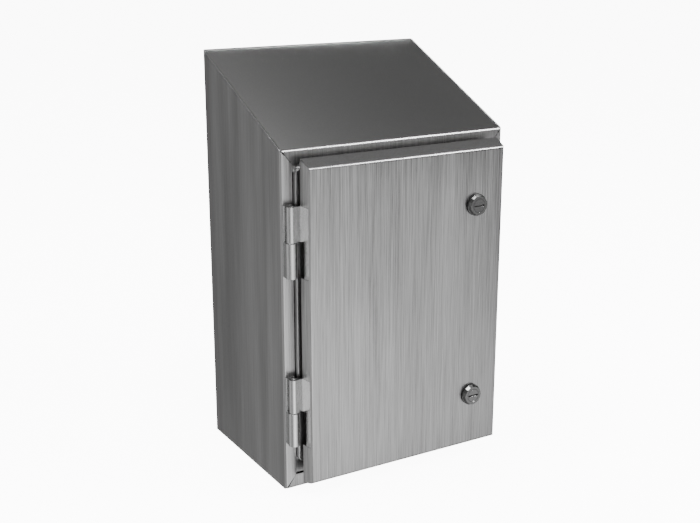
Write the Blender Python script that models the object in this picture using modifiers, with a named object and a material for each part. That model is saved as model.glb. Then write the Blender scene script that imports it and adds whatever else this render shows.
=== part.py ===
"""Sloped-top stainless enclosure with a hinged, quarter-turn-latched door, holding a fused disconnect switch.

Metres, +Z up. The origin is the middle of the body's underside: +X is to the right, seen from the door
side, and +Y runs from the door to the back wall. Run with: blender --background --python part.py
"""
import math

import bmesh
import bpy
from mathutils import Matrix, Vector

# ---------------------------------------------------------------- driving dimensions (metres)
BODY_W = 0.3048
BODY_D = 0.2032
FRONT_H = 0.4094
TOP_SLOPE = math.radians(24.6)
SHEET = 0.002
BEND = 0.003
GAP = 0.0003

# front flange of the body: its band at the sides, bottom and top
FLANGE_SIDE = 0.0145
FLANGE_LOW = 0.017
FLANGE_HIGH = 0.0156

# collar round the door opening: a weld leaf behind the flange, a ledge in front of it and a sealing lip
COLLAR_LEAF_EDGE = 0.005
COLLAR_SIDE = 0.0155
COLLAR_LOW = 0.035
COLLAR_HIGH = 0.0205
COLLAR_RISE = 0.0055
COLLAR_LEDGE = 0.012
COLLAR_LIP = 0.012
COLLAR_CORNER = 0.008
MITRE_REACH = 0.004

# door pan: the front face, and how far each rim edge spreads outwards at the back
DOOR_SIDE = 0.0194
DOOR_LOW = 0.0164
DOOR_HIGH = 0.0164
DOOR_FRONT = 0.031
DOOR_RIM = 0.018
DOOR_SPREAD_SIDE = 0.002
DOOR_SPREAD_LOW = 0.006
DOOR_SPREAD_HIGH = 0.0085
GASKET_HALF = 0.005

# hinges: two on the left, each a body leaf, a door leaf and a pin
HINGE_H = 0.083
HINGE_END = 0.0859
HINGE_X = 0.007
BARREL_R = 0.0065
DOOR_ROLL_R = 0.0052
PIN_R = 0.0035
LEAF = 0.003
BODY_LEAF_W = 0.011
DOOR_LEAF_GRIP = 0.009
KNUCKLE_GAP = 0.0003
HINGE_NOTCH = 0.006
PIN_INSET = 0.0015
PIN_BEVEL = 0.0005

# quarter-turn latches on the right of the door
LATCH_INSET = 0.040
LATCH_END = 0.0663
LATCH_BASE_R = 0.013
LATCH_FACE_R = 0.011
LATCH_HEAD = 0.0055
LATCH_RIM = 0.002
LATCH_SEAL = 0.0012
LATCH_THREAD_R = 0.009
DRIVER_R = 0.0080
DRIVER_SHAFT_R = 0.005
SLOT_L = 0.0145
SLOT_W = 0.002
SLOT_DEPTH = 0.002
DRIVER_WEB = 0.0015
CAM_T = 0.003
CAM_W = 0.016
CAM_OVERLAP = 0.009
CAM_CLEAR = 0.0005
CAM_CORNER = 0.003
CAM_TAP = 0.009
CAM_SCREW_HEAD_R = 0.0061
LATCH_NUT = 0.005
LATCH_NUT_ACROSS = 0.024
DRIVER_END_R = 0.004

# mounting holes in the back wall
WALL_HOLE_R = 0.004
WALL_HOLE_INSET = 0.0325
WALL_HOLE_HIGH = 0.065

# equipment panel on four collar studs
PANEL_MARGIN = 0.0224
PANEL_LOW = 0.030
PANEL_HEADROOM = 0.0394
PANEL_T = 0.0025
PANEL_OFF = 0.012
STUD_INSET = 0.012
STUD_R = 0.003
STUD_COLLAR_R = 0.006
STUD_REACH = 0.010
NUT_T = 0.005
NUT_ACROSS = 0.010

# fused switch on the panel
SWITCH_H = 0.242
POLE_PITCH = 0.036
BASE_T = 0.028
BARRIER_T = 0.003
BARRIER_H = 0.028
EDGE_LAND = 0.0005
COVER_H = 0.070
COVER_DEPTH = 0.0245
COVER_DROP = 0.046
COVER_EDGE = 0.003
KNOB_R = 0.024
KNOB_DISC = 0.0067
GRIP_L = 0.054
GRIP_W = 0.013
GRIP_H = 0.013
SHAFT_R = 0.006
KNOB_SOCKET = 0.012
FUSE_R = 0.0103
FUSE_L = 0.057
FERRULE_L = 0.014
FERRULE_STEP = 0.0004
FERRULE_BEVEL = 0.0008
FUSE_LOW = 0.044
CLIP_T = 0.0015
CLIP_H = 0.013
STRAP_W = 0.014
LUG_W = 0.016
LUG_D = 0.020
LUG_H = 0.022
LUG_WIRE_R = 0.0045
LUG_INSET = 0.014
CLAMP_R = 0.0035
CLAMP_DEPTH = 0.005
SCREW_R = 0.0025
SCREW_HEAD_R = 0.0045
SCREW_HEAD = 0.003
SCREW_THROUGH = 0.006
SCREW_TIP_CLEAR = 0.001
SCREW_INSET = 0.0055

# earth studs
EARTH_R = 0.003
EARTH_L = 0.018
BODY_EARTH = (0.050, 0.060)
DOOR_EARTH_INSET = 0.023

# ---------------------------------------------------------------- derived places
LEFT, RIGHT = -BODY_W / 2, BODY_W / 2
FRONT, BACK = -BODY_D / 2, BODY_D / 2
RISE = math.tan(TOP_SLOPE)
BACK_H = FRONT_H + BODY_D * RISE
DOOR_LEFT, DOOR_RIGHT = LEFT + DOOR_SIDE, RIGHT - DOOR_SIDE
DOOR_BOTTOM, DOOR_TOP = DOOR_LOW, FRONT_H - DOOR_HIGH
DOOR_MID = (DOOR_BOTTOM + DOOR_TOP) / 2
DOOR_Y = FRONT - DOOR_FRONT
DOOR_INSIDE = DOOR_Y + SHEET
AXIS_X = LEFT + HINGE_X
AXIS_Y = FRONT - GAP - LEAF - GAP - BARREL_R
LEDGE_Y = FRONT - COLLAR_RISE
LIP_Y = LEDGE_Y - COLLAR_LIP
LATCH_X = DOOR_RIGHT - LATCH_INSET
LATCH_HEIGHTS = {"upper": DOOR_TOP - LATCH_END, "lower": DOOR_BOTTOM + LATCH_END}
HINGE_HEIGHTS = {"upper": DOOR_TOP - HINGE_END, "lower": DOOR_BOTTOM + HINGE_END}
COLLAR_INNER = COLLAR_SIDE + COLLAR_LEDGE + SHEET
PANEL_BACK = BACK - SHEET - PANEL_OFF
PANEL_FRONT = PANEL_BACK - PANEL_T
PANEL_TOP = FRONT_H - PANEL_HEADROOM
BASE_BACK = PANEL_FRONT - GAP
BASE_FRONT = BASE_BACK - BASE_T
SWITCH_MID = (PANEL_LOW + PANEL_TOP) / 2
SWITCH_LOW, SWITCH_TOP = SWITCH_MID - SWITCH_H / 2, SWITCH_MID + SWITCH_H / 2
BARRIER_FRONT = BASE_FRONT - BARRIER_H
COVER_BACK = BARRIER_FRONT - GAP
COVER_FRONT = COVER_BACK - COVER_DEPTH
COVER_TOP = SWITCH_TOP - COVER_DROP
COVER_LOW = COVER_TOP - COVER_H
KNOB_Z = (COVER_TOP + COVER_LOW) / 2
POLES = {"left": -POLE_PITCH, "middle": 0.0, "right": POLE_PITCH}

# ---------------------------------------------------------------- finishes: colour, metallic, roughness
STAINLESS = ((0.55, 0.55, 0.55), 1.0, 0.32)
POLISHED = ((0.66, 0.66, 0.66), 1.0, 0.15)
ZINC_STEEL = ((0.62, 0.63, 0.62), 1.0, 0.35)
WHITE_PAINT = ((0.82, 0.82, 0.80), 0.0, 0.45)
RUBBER = ((0.03, 0.03, 0.03), 0.0, 0.80)
BLACK_THERMOSET = ((0.045, 0.045, 0.05), 0.0, 0.45)
GREY_NYLON = ((0.20, 0.21, 0.22), 0.0, 0.50)
RED_NYLON = ((0.55, 0.03, 0.02), 0.0, 0.40)
TINNED_COPPER = ((0.70, 0.62, 0.52), 1.0, 0.30)
ALUMINIUM = ((0.74, 0.74, 0.75), 1.0, 0.35)
FUSE_BODY = ((0.72, 0.66, 0.50), 0.0, 0.55)


def new_collection(name):
    collection = bpy.data.collections.new(name)
    bpy.context.scene.collection.children.link(collection)
    return collection


def material(name, finish):
    colour, metallic, roughness = finish
    made = bpy.data.materials.new(name)
    made.use_nodes = True
    shader = made.node_tree.nodes["Principled BSDF"]
    shader.inputs["Base Color"].default_value = (*colour, 1.0)
    shader.inputs["Metallic"].default_value = metallic
    shader.inputs["Roughness"].default_value = roughness
    made.diffuse_color = (*colour, 1.0)
    return made


def add_object(name, bm, finish, pivot=(0.0, 0.0, 0.0)):
    """A finished piece whose origin is at pivot; the mesh is given in world places."""
    bmesh.ops.recalc_face_normals(bm, faces=bm.faces)
    bmesh.ops.translate(bm, vec=-Vector(pivot), verts=bm.verts)
    mesh = bpy.data.meshes.new(name)
    bm.to_mesh(mesh)
    bm.free()
    made = bpy.data.objects.new(name, mesh)
    made.location = pivot
    if finish:
        made.data.materials.append(material(name + "_finish", finish))
        PARTS.objects.link(made)
    else:
        made.hide_render = True
        made.display_type = "WIRE"
        CUTTERS.objects.link(made)
    return made


def boolean(piece, tool, operation):
    """Cut a piece by a tool, or join the tool to it; the tool is kept among the cutters."""
    step = piece.modifiers.new(operation.lower(), "BOOLEAN")
    step.operation = operation
    step.solver = "EXACT"
    step.object = tool
    return piece


def prism(outline, axis, low, high):
    """A flat outline pushed along X, Y or Z; the outline's two numbers are the other axes in order."""
    place = {
        "X": lambda a, b: (low, a, b),
        "Y": lambda a, b: (a, low, b),
        "Z": lambda a, b: (a, b, low),
    }[axis]
    along = {"X": Vector((1, 0, 0)), "Y": Vector((0, 1, 0)), "Z": Vector((0, 0, 1))}[axis]
    bm = bmesh.new()
    corners = [bm.verts.new(place(a, b)) for a, b in outline]
    rim = [bm.edges.new((corners[i - 1], corners[i])) for i in range(len(corners))]
    face = bmesh.ops.contextual_create(bm, geom=rim)["faces"]
    pushed = bmesh.ops.extrude_face_region(bm, geom=face, use_keep_orig=True)["geom"]
    moved = [item for item in pushed if isinstance(item, bmesh.types.BMVert)]
    bmesh.ops.translate(bm, vec=along * (high - low), verts=moved)
    return bm


def block(low, high):
    """A box between two opposite corners."""
    bm = bmesh.new()
    centre = (Vector(low) + Vector(high)) / 2
    size = Vector(high) - Vector(low)
    bmesh.ops.create_cube(bm, size=1.0, matrix=Matrix.Translation(centre) @ Matrix.Diagonal((*size, 1.0)))
    return bm


TURN = {
    "X": Matrix.Rotation(math.pi / 2, 4, "Y"),
    "Y": Matrix.Rotation(math.pi / 2, 4, "X"),
    "Z": Matrix.Identity(4),
}


def rod(centre, axis, radius, length, segments=24):
    """A round bar; with six segments it is a hexagon of that corner radius."""
    bm = bmesh.new()
    bmesh.ops.create_cone(
        bm,
        cap_ends=True,
        segments=segments,
        radius1=radius,
        radius2=radius,
        depth=length,
        matrix=Matrix.Translation(Vector(centre)) @ TURN[axis],
    )
    return bm


def turned(name, profile, centre, axis, finish, closed=False, steps=24):
    """A turned piece: radius and height pairs, top to bottom, spun about the axis through centre.

    Heights run along +Z, or along -Y, which is out of the door, when the axis is Y.
    """
    mesh = bpy.data.meshes.new(name)
    bm = bmesh.new()
    points = [bm.verts.new((radius, 0.0, height)) for radius, height in profile]
    pairs = list(zip(points, points[1:]))
    if closed:
        pairs.append((points[-1], points[0]))
    for pair in pairs:
        bm.edges.new(pair)
    bm.to_mesh(mesh)
    bm.free()
    made = bpy.data.objects.new(name, mesh)
    made.matrix_world = Matrix.Translation(Vector(centre)) @ TURN[axis]
    screw = made.modifiers.new("turn", "SCREW")
    screw.steps = steps
    screw.render_steps = steps
    screw.use_merge_vertices = True
    screw.merge_threshold = 0.00001
    screw.use_smooth_shade = False
    mesh.materials.append(material(name + "_finish", finish))
    PARTS.objects.link(made)
    return made


def cutter_rod(name, centre, axis, radius, length, segments=24):
    return add_object(name, rod(centre, axis, radius, length, segments), None)


def arc(centre, radius, start, end, count):
    """Points on an arc, angles in degrees."""
    angles = [math.radians(start + (end - start) * i / (count - 1)) for i in range(count)]
    return [(centre[0] + radius * math.cos(a), centre[1] + radius * math.sin(a)) for a in angles]


def rounded(outline, radii, count=4):
    """The outline with the corners that have a radius turned into arcs."""
    points = []
    for i, corner in enumerate(outline):
        radius = radii.get(i, 0.0)
        here = Vector(corner)
        if radius <= 0.0:
            points.append(tuple(here))
            continue
        before = (Vector(outline[i - 1]) - here).normalized()
        after = (Vector(outline[(i + 1) % len(outline)]) - here).normalized()
        half = before.angle(after) / 2
        middle = here + (before + after).normalized() * radius / math.sin(half)
        first = here + before * radius / math.tan(half) - middle
        last = here + after * radius / math.tan(half) - middle
        turn = first.angle_signed(last)
        for k in range(count):
            spin = Matrix.Rotation(-turn * k / (count - 1), 2)
            points.append(tuple(middle + spin @ first))
    return points


def rectangle(side, low, high, corner, y):
    """A rounded rectangle on the front, given by its margins to the body's sides, bottom and top."""
    x0, x1, z0, z1 = LEFT + side, RIGHT - side, low, FRONT_H - high
    flat = rounded([(x0, z0), (x1, z0), (x1, z1), (x0, z1)], {0: corner, 1: corner, 2: corner, 3: corner})
    return [(x, y, z) for x, z in flat]


def ring(loops):
    """A frame of closed section: the first loop is extruded to each next one, and back to itself."""
    bm = bmesh.new()
    order = bm.verts.layers.int.new("order")
    corners = [bm.verts.new(point) for point in loops[0]]
    for i, corner in enumerate(corners):
        corner[order] = i
    edges = [bm.edges.new((corners[i - 1], corners[i])) for i in range(len(corners))]
    for loop in loops[1:] + loops[:1]:
        pushed = bmesh.ops.extrude_edge_only(bm, edges=edges)["geom"]
        edges = [item for item in pushed if isinstance(item, bmesh.types.BMEdge)]
        for vert in pushed:
            if isinstance(vert, bmesh.types.BMVert):
                vert.co = loop[vert[order]]
    bmesh.ops.remove_doubles(bm, verts=bm.verts, dist=0.00001)
    return bm


def slope_height(y, drop=0.0):
    """Height of the sloped top's outer face at y, or of a plane that lies drop under it."""
    return FRONT_H + (y - FRONT) * RISE - drop / math.cos(TOP_SLOPE)


# ---------------------------------------------------------------- body
def mitre_cutters(name, inner, outer):
    """Four wedges that cut a flange's ends along the corner seams.

    inner is the seam's shift from the side wall, and outer picks which side of the seam goes.
    """
    wedges = []
    reach = MITRE_REACH
    for side, sign in ((LEFT, 1.0), (RIGHT, -1.0)):
        for end, edge, up in (("low", FLANGE_LOW, 1.0), ("high", FRONT_H - FLANGE_HIGH, -1.0)):
            start = 0.0 if end == "low" else FRONT_H
            a = (side + sign * (SHEET + inner), start)
            b = (side + sign * (FLANGE_SIDE + inner), edge)
            if outer:
                shape = [(a[0], a[1] - up * reach), a, b, (b[0] + sign * reach, b[1])]
                shape.append((b[0] + sign * reach, a[1] - up * reach))
            else:
                shape = [(a[0] - sign * reach, a[1]), a, b, (b[0], b[1] + up * reach)]
                shape.append((a[0] - sign * reach, b[1] + up * reach))
            wedge = prism(shape, "Y", FRONT - reach, FRONT + SHEET)
            wedges.append(add_object(f"cut_{name}_{end}_{'left' if sign > 0 else 'right'}", wedge, None))
    return wedges


def make_body_wrap():
    """Both sides, the back and the side flanges, bent from one sheet."""
    t = SHEET
    plan = [
        (LEFT + FLANGE_SIDE, FRONT), (LEFT, FRONT), (LEFT, BACK), (RIGHT, BACK),
        (RIGHT, FRONT), (RIGHT - FLANGE_SIDE, FRONT), (RIGHT - FLANGE_SIDE, FRONT + t),
        (RIGHT - t, FRONT + t), (RIGHT - t, BACK - t), (LEFT + t, BACK - t),
        (LEFT + t, FRONT + t), (LEFT + FLANGE_SIDE, FRONT + t),
    ]
    outline = rounded(plan, {1: BEND, 2: BEND, 3: BEND, 4: BEND})
    wrap = add_object("body_wrap", prism(outline, "Z", 0.0, BACK_H + 0.01), STAINLESS)
    over = 0.02
    above = [
        (FRONT - over, slope_height(FRONT - over)), (BACK + over, slope_height(BACK + over)),
        (BACK + over, BACK_H + 2 * over), (FRONT - over, BACK_H + 2 * over),
    ]
    slope = add_object("cut_slope", prism(above, "X", LEFT - over, RIGHT + over), None)
    boolean(wrap, slope, "DIFFERENCE")
    for wedge in mitre_cutters("wrap", 0.0, True):
        boolean(wrap, wedge, "DIFFERENCE")
    for i, x in enumerate((LEFT + WALL_HOLE_INSET, RIGHT - WALL_HOLE_INSET)):
        for k, z in enumerate((WALL_HOLE_INSET, FRONT_H - WALL_HOLE_HIGH + WALL_HOLE_INSET)):
            hole = cutter_rod(f"cut_wall_hole_{i}{k}", (x, BACK, z), "Y", WALL_HOLE_R, 4 * t, 16)
            boolean(wrap, hole, "DIFFERENCE")


def make_sloped_top():
    """The sloping sheet between the sides, with its front flange."""
    t = SHEET
    end = BACK - t - GAP
    corner = FRONT + t
    profile = [
        (FRONT, FRONT_H - FLANGE_HIGH), (FRONT, FRONT_H), (end, slope_height(end)),
        (end, slope_height(end, t)), (corner, slope_height(corner, t)), (corner, FRONT_H - FLANGE_HIGH),
    ]
    bm = prism(rounded(profile, {1: BEND / 2}), "X", LEFT + t + GAP, RIGHT - t - GAP)
    top = add_object("sloped_top", bm, STAINLESS)
    for wedge in mitre_cutters("top", GAP, False)[1::2]:
        boolean(top, wedge, "DIFFERENCE")


def make_bottom_panel():
    """The floor sheet with its front flange."""
    t = SHEET
    end = BACK - t - GAP
    profile = [
        (FRONT, FLANGE_LOW), (FRONT, 0.0), (end, 0.0), (end, t), (FRONT + t, t), (FRONT + t, FLANGE_LOW),
    ]
    bm = prism(rounded(profile, {1: BEND / 2}), "X", LEFT + t + GAP, RIGHT - t - GAP)
    floor = add_object("bottom_panel", bm, STAINLESS)
    for wedge in mitre_cutters("bottom", GAP, False)[0::2]:
        boolean(floor, wedge, "DIFFERENCE")


def make_door_collar():
    """The drip collar: a leaf welded behind the flange, a ledge proud of it and a lip for the gasket."""
    t = SHEET
    behind = FRONT + t + GAP

    def at(inset, corner, y):
        return rectangle(COLLAR_SIDE + inset, COLLAR_LOW + inset, COLLAR_HIGH + inset, corner, y)

    def leaf(y):
        edge = COLLAR_LEAF_EDGE
        return rectangle(edge, edge, edge, BEND, y)

    deep = COLLAR_LEDGE
    loops = [
        leaf(behind),
        at(0.0, COLLAR_CORNER, behind),
        at(0.0, COLLAR_CORNER, LEDGE_Y),
        at(deep, COLLAR_CORNER / 2, LEDGE_Y),
        at(deep, COLLAR_CORNER / 2, LIP_Y),
        at(deep + t, COLLAR_CORNER / 4, LIP_Y),
        at(deep + t, COLLAR_CORNER / 4, LEDGE_Y + t),
        at(t, COLLAR_CORNER - t, LEDGE_Y + t),
        at(t, COLLAR_CORNER - t, behind + t),
        leaf(behind + t),
    ]
    add_object("door_collar", ring(loops), STAINLESS)


# ---------------------------------------------------------------- door
def rim_line(along, inward=0.0):
    """A point on the door's left rim: along from the front edge to the back one, then into the door."""
    direction = Vector((-DOOR_SPREAD_SIDE, DOOR_RIM)).normalized()
    normal = Vector((direction.y, -direction.x))
    point = Vector((DOOR_LEFT, DOOR_Y)) + direction * along + normal * inward
    return tuple(point)


def make_door_pan():
    """The door sheet: a flat front whose rim spreads outwards to shed water."""
    bm = block((DOOR_LEFT, DOOR_Y, DOOR_BOTTOM), (DOOR_RIGHT, DOOR_Y + DOOR_RIM, DOOR_TOP))
    for vert in bm.verts:
        if vert.co.y > DOOR_Y + DOOR_RIM / 2:
            vert.co.x += math.copysign(DOOR_SPREAD_SIDE, vert.co.x)
            vert.co.z += DOOR_SPREAD_HIGH if vert.co.z > DOOR_MID else -DOOR_SPREAD_LOW
    bmesh.ops.recalc_face_normals(bm, faces=bm.faces)
    open_side = [face for face in bm.faces if face.calc_center_median().y > DOOR_Y + DOOR_RIM * 0.9]
    bmesh.ops.delete(bm, geom=open_side, context="FACES_ONLY")
    pan = add_object("door_pan", bm, STAINLESS, (AXIS_X, AXIS_Y, DOOR_MID))
    wall = pan.modifiers.new("sheet", "SOLIDIFY")
    wall.thickness = SHEET
    wall.offset = -1.0
    wall.use_even_offset = True
    pan.modifiers.new("flat_faces", "TRIANGULATE")
    for name, z in HINGE_HEIGHTS.items():
        half = HINGE_H / 2 + GAP
        front = DOOR_INSIDE + GAP
        notch = block((DOOR_LEFT - 0.01, front, z - half), (DOOR_LEFT + HINGE_NOTCH, FRONT, z + half))
        boolean(pan, add_object(f"cut_notch_{name}", notch, None), "DIFFERENCE")
    for name, z in LATCH_HEIGHTS.items():
        centre = (LATCH_X, DOOR_Y, z)
        hole = cutter_rod(f"cut_latch_hole_{name}", centre, "Y", LATCH_THREAD_R + GAP, 4 * SHEET)
        boolean(pan, hole, "DIFFERENCE")


def make_door_gasket():
    """The foamed seal that the collar's lip presses into."""
    middle = COLLAR_LEDGE + SHEET / 2
    front, back = DOOR_INSIDE + GAP, LIP_Y - GAP

    def at(shift, corner, y):
        inset = middle + shift
        return rectangle(COLLAR_SIDE + inset, COLLAR_LOW + inset, COLLAR_HIGH + inset, corner, y)

    wide, tight = COLLAR_CORNER, COLLAR_CORNER / 4
    loops = [at(-GASKET_HALF, wide, front), at(-GASKET_HALF, wide, back)]
    loops += [at(GASKET_HALF, tight, back), at(GASKET_HALF, tight, front)]
    add_object("door_gasket", ring(loops), RUBBER, (AXIS_X, AXIS_Y, DOOR_MID))


# ---------------------------------------------------------------- hinges
def make_body_leaf(name, z):
    """The leaf on the flange over the hinge's full height, rolled into the lower knuckle."""
    bottom, top = z - HINGE_H / 2, z + HINGE_H / 2
    back = FRONT - GAP
    plate_front = back - LEAF
    half = BODY_LEAF_W / 2
    near, far = math.degrees(math.acos(0.25)), math.degrees(math.acos(-half / BARREL_R))
    plan = [(AXIS_X - half, back), (AXIS_X + half, back), (AXIS_X + half, plate_front)]
    plan += [(AXIS_X + BARREL_R * 0.25, plate_front)]
    plan += arc((AXIS_X, AXIS_Y), BARREL_R, near, far - 360, 22)
    leaf = add_object(f"{name}_hinge_body_leaf", prism(plan, "Z", bottom, top), STAINLESS)
    low = (AXIS_X - HINGE_H, FRONT - HINGE_H, z - KNUCKLE_GAP / 2)
    high = (AXIS_X + HINGE_H, plate_front, z + HINGE_H)
    boolean(leaf, add_object(f"cut_upper_half_{name}", block(low, high), None), "DIFFERENCE")
    bore = cutter_rod(f"cut_body_bore_{name}", (AXIS_X, AXIS_Y, z), "Z", PIN_R + GAP, 2 * HINGE_H)
    boolean(leaf, bore, "DIFFERENCE")


def make_door_leaf(name, z):
    """The leaf let into the door's rim over the full height, rolled into the upper knuckle."""
    bottom, top = z - HINGE_H / 2, z + HINGE_H / 2
    start = SHEET + 2 * GAP
    grip_end = start + DOOR_LEAF_GRIP
    rim_end = Vector((DOOR_SPREAD_SIDE, DOOR_RIM)).length - GAP
    plan = arc((AXIS_X, AXIS_Y), DOOR_ROLL_R, -10, 270, 22)
    plan += [rim_line(rim_end), rim_line(start), rim_line(start, LEAF), rim_line(rim_end + LEAF, LEAF)]
    pivot = (AXIS_X, AXIS_Y, z)
    leaf = add_object(f"{name}_hinge_door_leaf", prism(plan, "Z", bottom, top), POLISHED, pivot)
    far = HINGE_H / 2
    away = [rim_line(grip_end, -far), rim_line(grip_end, far), rim_line(far, far), rim_line(far, -far)]
    lower = prism(away, "Z", bottom - LEAF, z + KNUCKLE_GAP / 2)
    boolean(leaf, add_object(f"cut_lower_half_{name}", lower, None), "DIFFERENCE")
    bore = cutter_rod(f"cut_door_bore_{name}", (AXIS_X, AXIS_Y, z), "Z", PIN_R + GAP, 2 * HINGE_H)
    boolean(leaf, bore, "DIFFERENCE")


def make_hinge(name, z):
    make_body_leaf(name, z)
    make_door_leaf(name, z)
    half = HINGE_H / 2 - PIN_INSET
    bevel = PIN_BEVEL
    profile = [(0.0, half), (PIN_R - bevel, half), (PIN_R, half - bevel), (PIN_R, bevel - half)]
    profile += [(PIN_R - bevel, -half), (0.0, -half)]
    turned(f"{name}_hinge_pin", profile, (AXIS_X, AXIS_Y, z), "Z", POLISHED)


# ---------------------------------------------------------------- latches
def hex_nut(name, centre, axis, across, thickness, bore, finish):
    nut = add_object(name, rod(centre, axis, across / math.sqrt(3), thickness, 6), finish)
    return boolean(nut, cutter_rod(f"cut_{name}", centre, axis, bore, 3 * thickness), "DIFFERENCE")


def make_latch(name, z):
    """A slotted quarter-turn latch; heights in its profiles run out of the door from its front face."""
    centre = (LATCH_X, DOOR_Y, z)
    seal_back = GAP
    seal_front = seal_back + LATCH_SEAL
    head_back = seal_front + GAP
    head_front = head_back + LATCH_HEAD
    thread_end = -DOOR_FRONT + COLLAR_RISE + COLLAR_LIP
    bore = DRIVER_SHAFT_R + GAP
    well = DRIVER_R + GAP
    well_floor = head_front - SLOT_DEPTH - DRIVER_WEB
    profile = [
        (LATCH_FACE_R, head_front), (LATCH_BASE_R, head_back + LATCH_RIM), (LATCH_BASE_R, head_back),
        (LATCH_THREAD_R, head_back), (LATCH_THREAD_R, thread_end), (bore, thread_end),
        (bore, well_floor), (well, well_floor), (well, head_front),
    ]
    turned(f"{name}_latch_housing", profile, centre, "Y", POLISHED, closed=True)
    washer = [(LATCH_BASE_R, seal_front), (LATCH_BASE_R, seal_back)]
    washer += [(LATCH_THREAD_R + GAP, seal_back), (LATCH_THREAD_R + GAP, seal_front)]
    turned(f"{name}_latch_seal", washer, centre, "Y", RUBBER, closed=True)

    cam_front = LEDGE_Y + SHEET + CAM_CLEAR
    cam_back = cam_front + CAM_T
    shaft_end = DOOR_Y - cam_back
    shoulder = DOOR_Y - cam_front + GAP
    tap = CAM_TAP
    drive = [
        (0.0, head_front), (DRIVER_R, head_front), (DRIVER_R, well_floor + GAP),
        (DRIVER_SHAFT_R, well_floor + GAP), (DRIVER_SHAFT_R, shoulder), (DRIVER_END_R, shoulder),
        (DRIVER_END_R, shaft_end), (SCREW_R, shaft_end), (SCREW_R, shaft_end + tap), (0.0, shaft_end + tap),
    ]
    driver = turned(f"{name}_latch_driver", drive, centre, "Y", POLISHED)
    slot_y = DOOR_Y - head_front
    low = (LATCH_X - SLOT_L / 2, slot_y - 0.001, z - SLOT_W / 2)
    high = (LATCH_X + SLOT_L / 2, slot_y + SLOT_DEPTH, z + SLOT_W / 2)
    boolean(driver, add_object(f"cut_slot_{name}", block(low, high), None), "DIFFERENCE")

    cam_length = RIGHT - COLLAR_INNER + CAM_OVERLAP - LATCH_X
    half = CAM_W / 2
    outline = arc((LATCH_X, z), half, 180, 360, 9)
    top, cut = z + cam_length, CAM_CORNER
    outline += [(LATCH_X + half, top - cut), (LATCH_X + half - cut, top)]
    outline += [(LATCH_X - half + cut, top), (LATCH_X - half, top - cut)]
    cam = add_object(f"{name}_latch_cam", prism(outline, "Y", cam_front, cam_back), ZINC_STEEL, centre)
    bore = cutter_rod(f"cut_cam_{name}", (LATCH_X, cam_front, z), "Y", DRIVER_END_R + GAP, 4 * CAM_T)
    boolean(cam, bore, "DIFFERENCE")

    head_top = shaft_end - GAP
    tip = head_top + tap - SCREW_TIP_CLEAR
    screw = [
        (0.0, tip), (SCREW_R - GAP, tip), (SCREW_R - GAP, head_top),
        (CAM_SCREW_HEAD_R, head_top), (CAM_SCREW_HEAD_R, head_top - SCREW_HEAD),
        (0.0, head_top - SCREW_HEAD),
    ]
    turned(f"{name}_latch_cam_screw", screw, centre, "Y", ZINC_STEEL)

    nut_centre = (LATCH_X, DOOR_INSIDE + GAP + LATCH_NUT / 2, z)
    bore = LATCH_THREAD_R + GAP
    hex_nut(f"{name}_latch_nut", nut_centre, "Y", LATCH_NUT_ACROSS, LATCH_NUT, bore, ZINC_STEEL)


# ---------------------------------------------------------------- equipment panel and earth studs
def make_panel():
    low = (LEFT + PANEL_MARGIN, PANEL_FRONT, PANEL_LOW)
    high = (RIGHT - PANEL_MARGIN, PANEL_BACK, PANEL_TOP)
    panel = add_object("equipment_panel", block(low, high), WHITE_PAINT)
    places = {
        "lower_left": (low[0] + STUD_INSET, low[2] + STUD_INSET),
        "lower_right": (high[0] - STUD_INSET, low[2] + STUD_INSET),
        "upper_left": (low[0] + STUD_INSET, high[2] - STUD_INSET),
        "upper_right": (high[0] - STUD_INSET, high[2] - STUD_INSET),
    }
    for name, (x, z) in places.items():
        centre = (x, BACK - SHEET - GAP, z)
        shoulder = PANEL_OFF - 2 * GAP
        tip = PANEL_OFF + PANEL_T + STUD_REACH
        stud = [(0.0, tip), (STUD_R, tip), (STUD_R, shoulder), (STUD_COLLAR_R, shoulder)]
        stud += [(STUD_COLLAR_R, 0.0), (0.0, 0.0)]
        turned(f"panel_stud_{name}", stud, centre, "Y", STAINLESS, steps=16)
        hole = cutter_rod(f"cut_panel_{name}", (x, PANEL_FRONT, z), "Y", STUD_R + GAP, 4 * PANEL_T, 16)
        boolean(panel, hole, "DIFFERENCE")
        nut_centre = (x, PANEL_FRONT - GAP - NUT_T / 2, z)
        hex_nut(f"panel_nut_{name}", nut_centre, "Y", NUT_ACROSS, NUT_T, STUD_R + GAP, ZINC_STEEL)
    for end, z in (("low", SWITCH_LOW + SCREW_INSET), ("high", SWITCH_TOP - SCREW_INSET)):
        hole = cutter_rod(f"cut_panel_{end}", (0.0, PANEL_FRONT, z), "Y", SCREW_R + GAP, 4 * PANEL_T, 16)
        boolean(panel, hole, "DIFFERENCE")


def make_earth_studs():
    plain = [(0.0, EARTH_L), (EARTH_R, EARTH_L), (EARTH_R, 0.0), (0.0, 0.0)]
    x, y = LEFT + BODY_EARTH[0], FRONT + BODY_EARTH[1]
    turned("body_earth_stud", plain, (x, y, SHEET + GAP), "Z", STAINLESS, steps=16)
    nut_z = SHEET + 2 * GAP + NUT_T / 2
    hex_nut("body_earth_nut", (x, y, nut_z), "Z", NUT_ACROSS, NUT_T, EARTH_R + GAP, ZINC_STEEL)
    x = DOOR_RIGHT - DOOR_EARTH_INSET
    down = [(0.0, 0.0), (EARTH_R, 0.0), (EARTH_R, -EARTH_L), (0.0, -EARTH_L)]
    turned("door_earth_stud", down, (x, DOOR_INSIDE + GAP, DOOR_MID), "Y", STAINLESS, steps=16)
    centre = (x, DOOR_INSIDE + 2 * GAP + NUT_T / 2, DOOR_MID)
    hex_nut("door_earth_nut", centre, "Y", NUT_ACROSS, NUT_T, EARTH_R + GAP, ZINC_STEEL)


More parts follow.
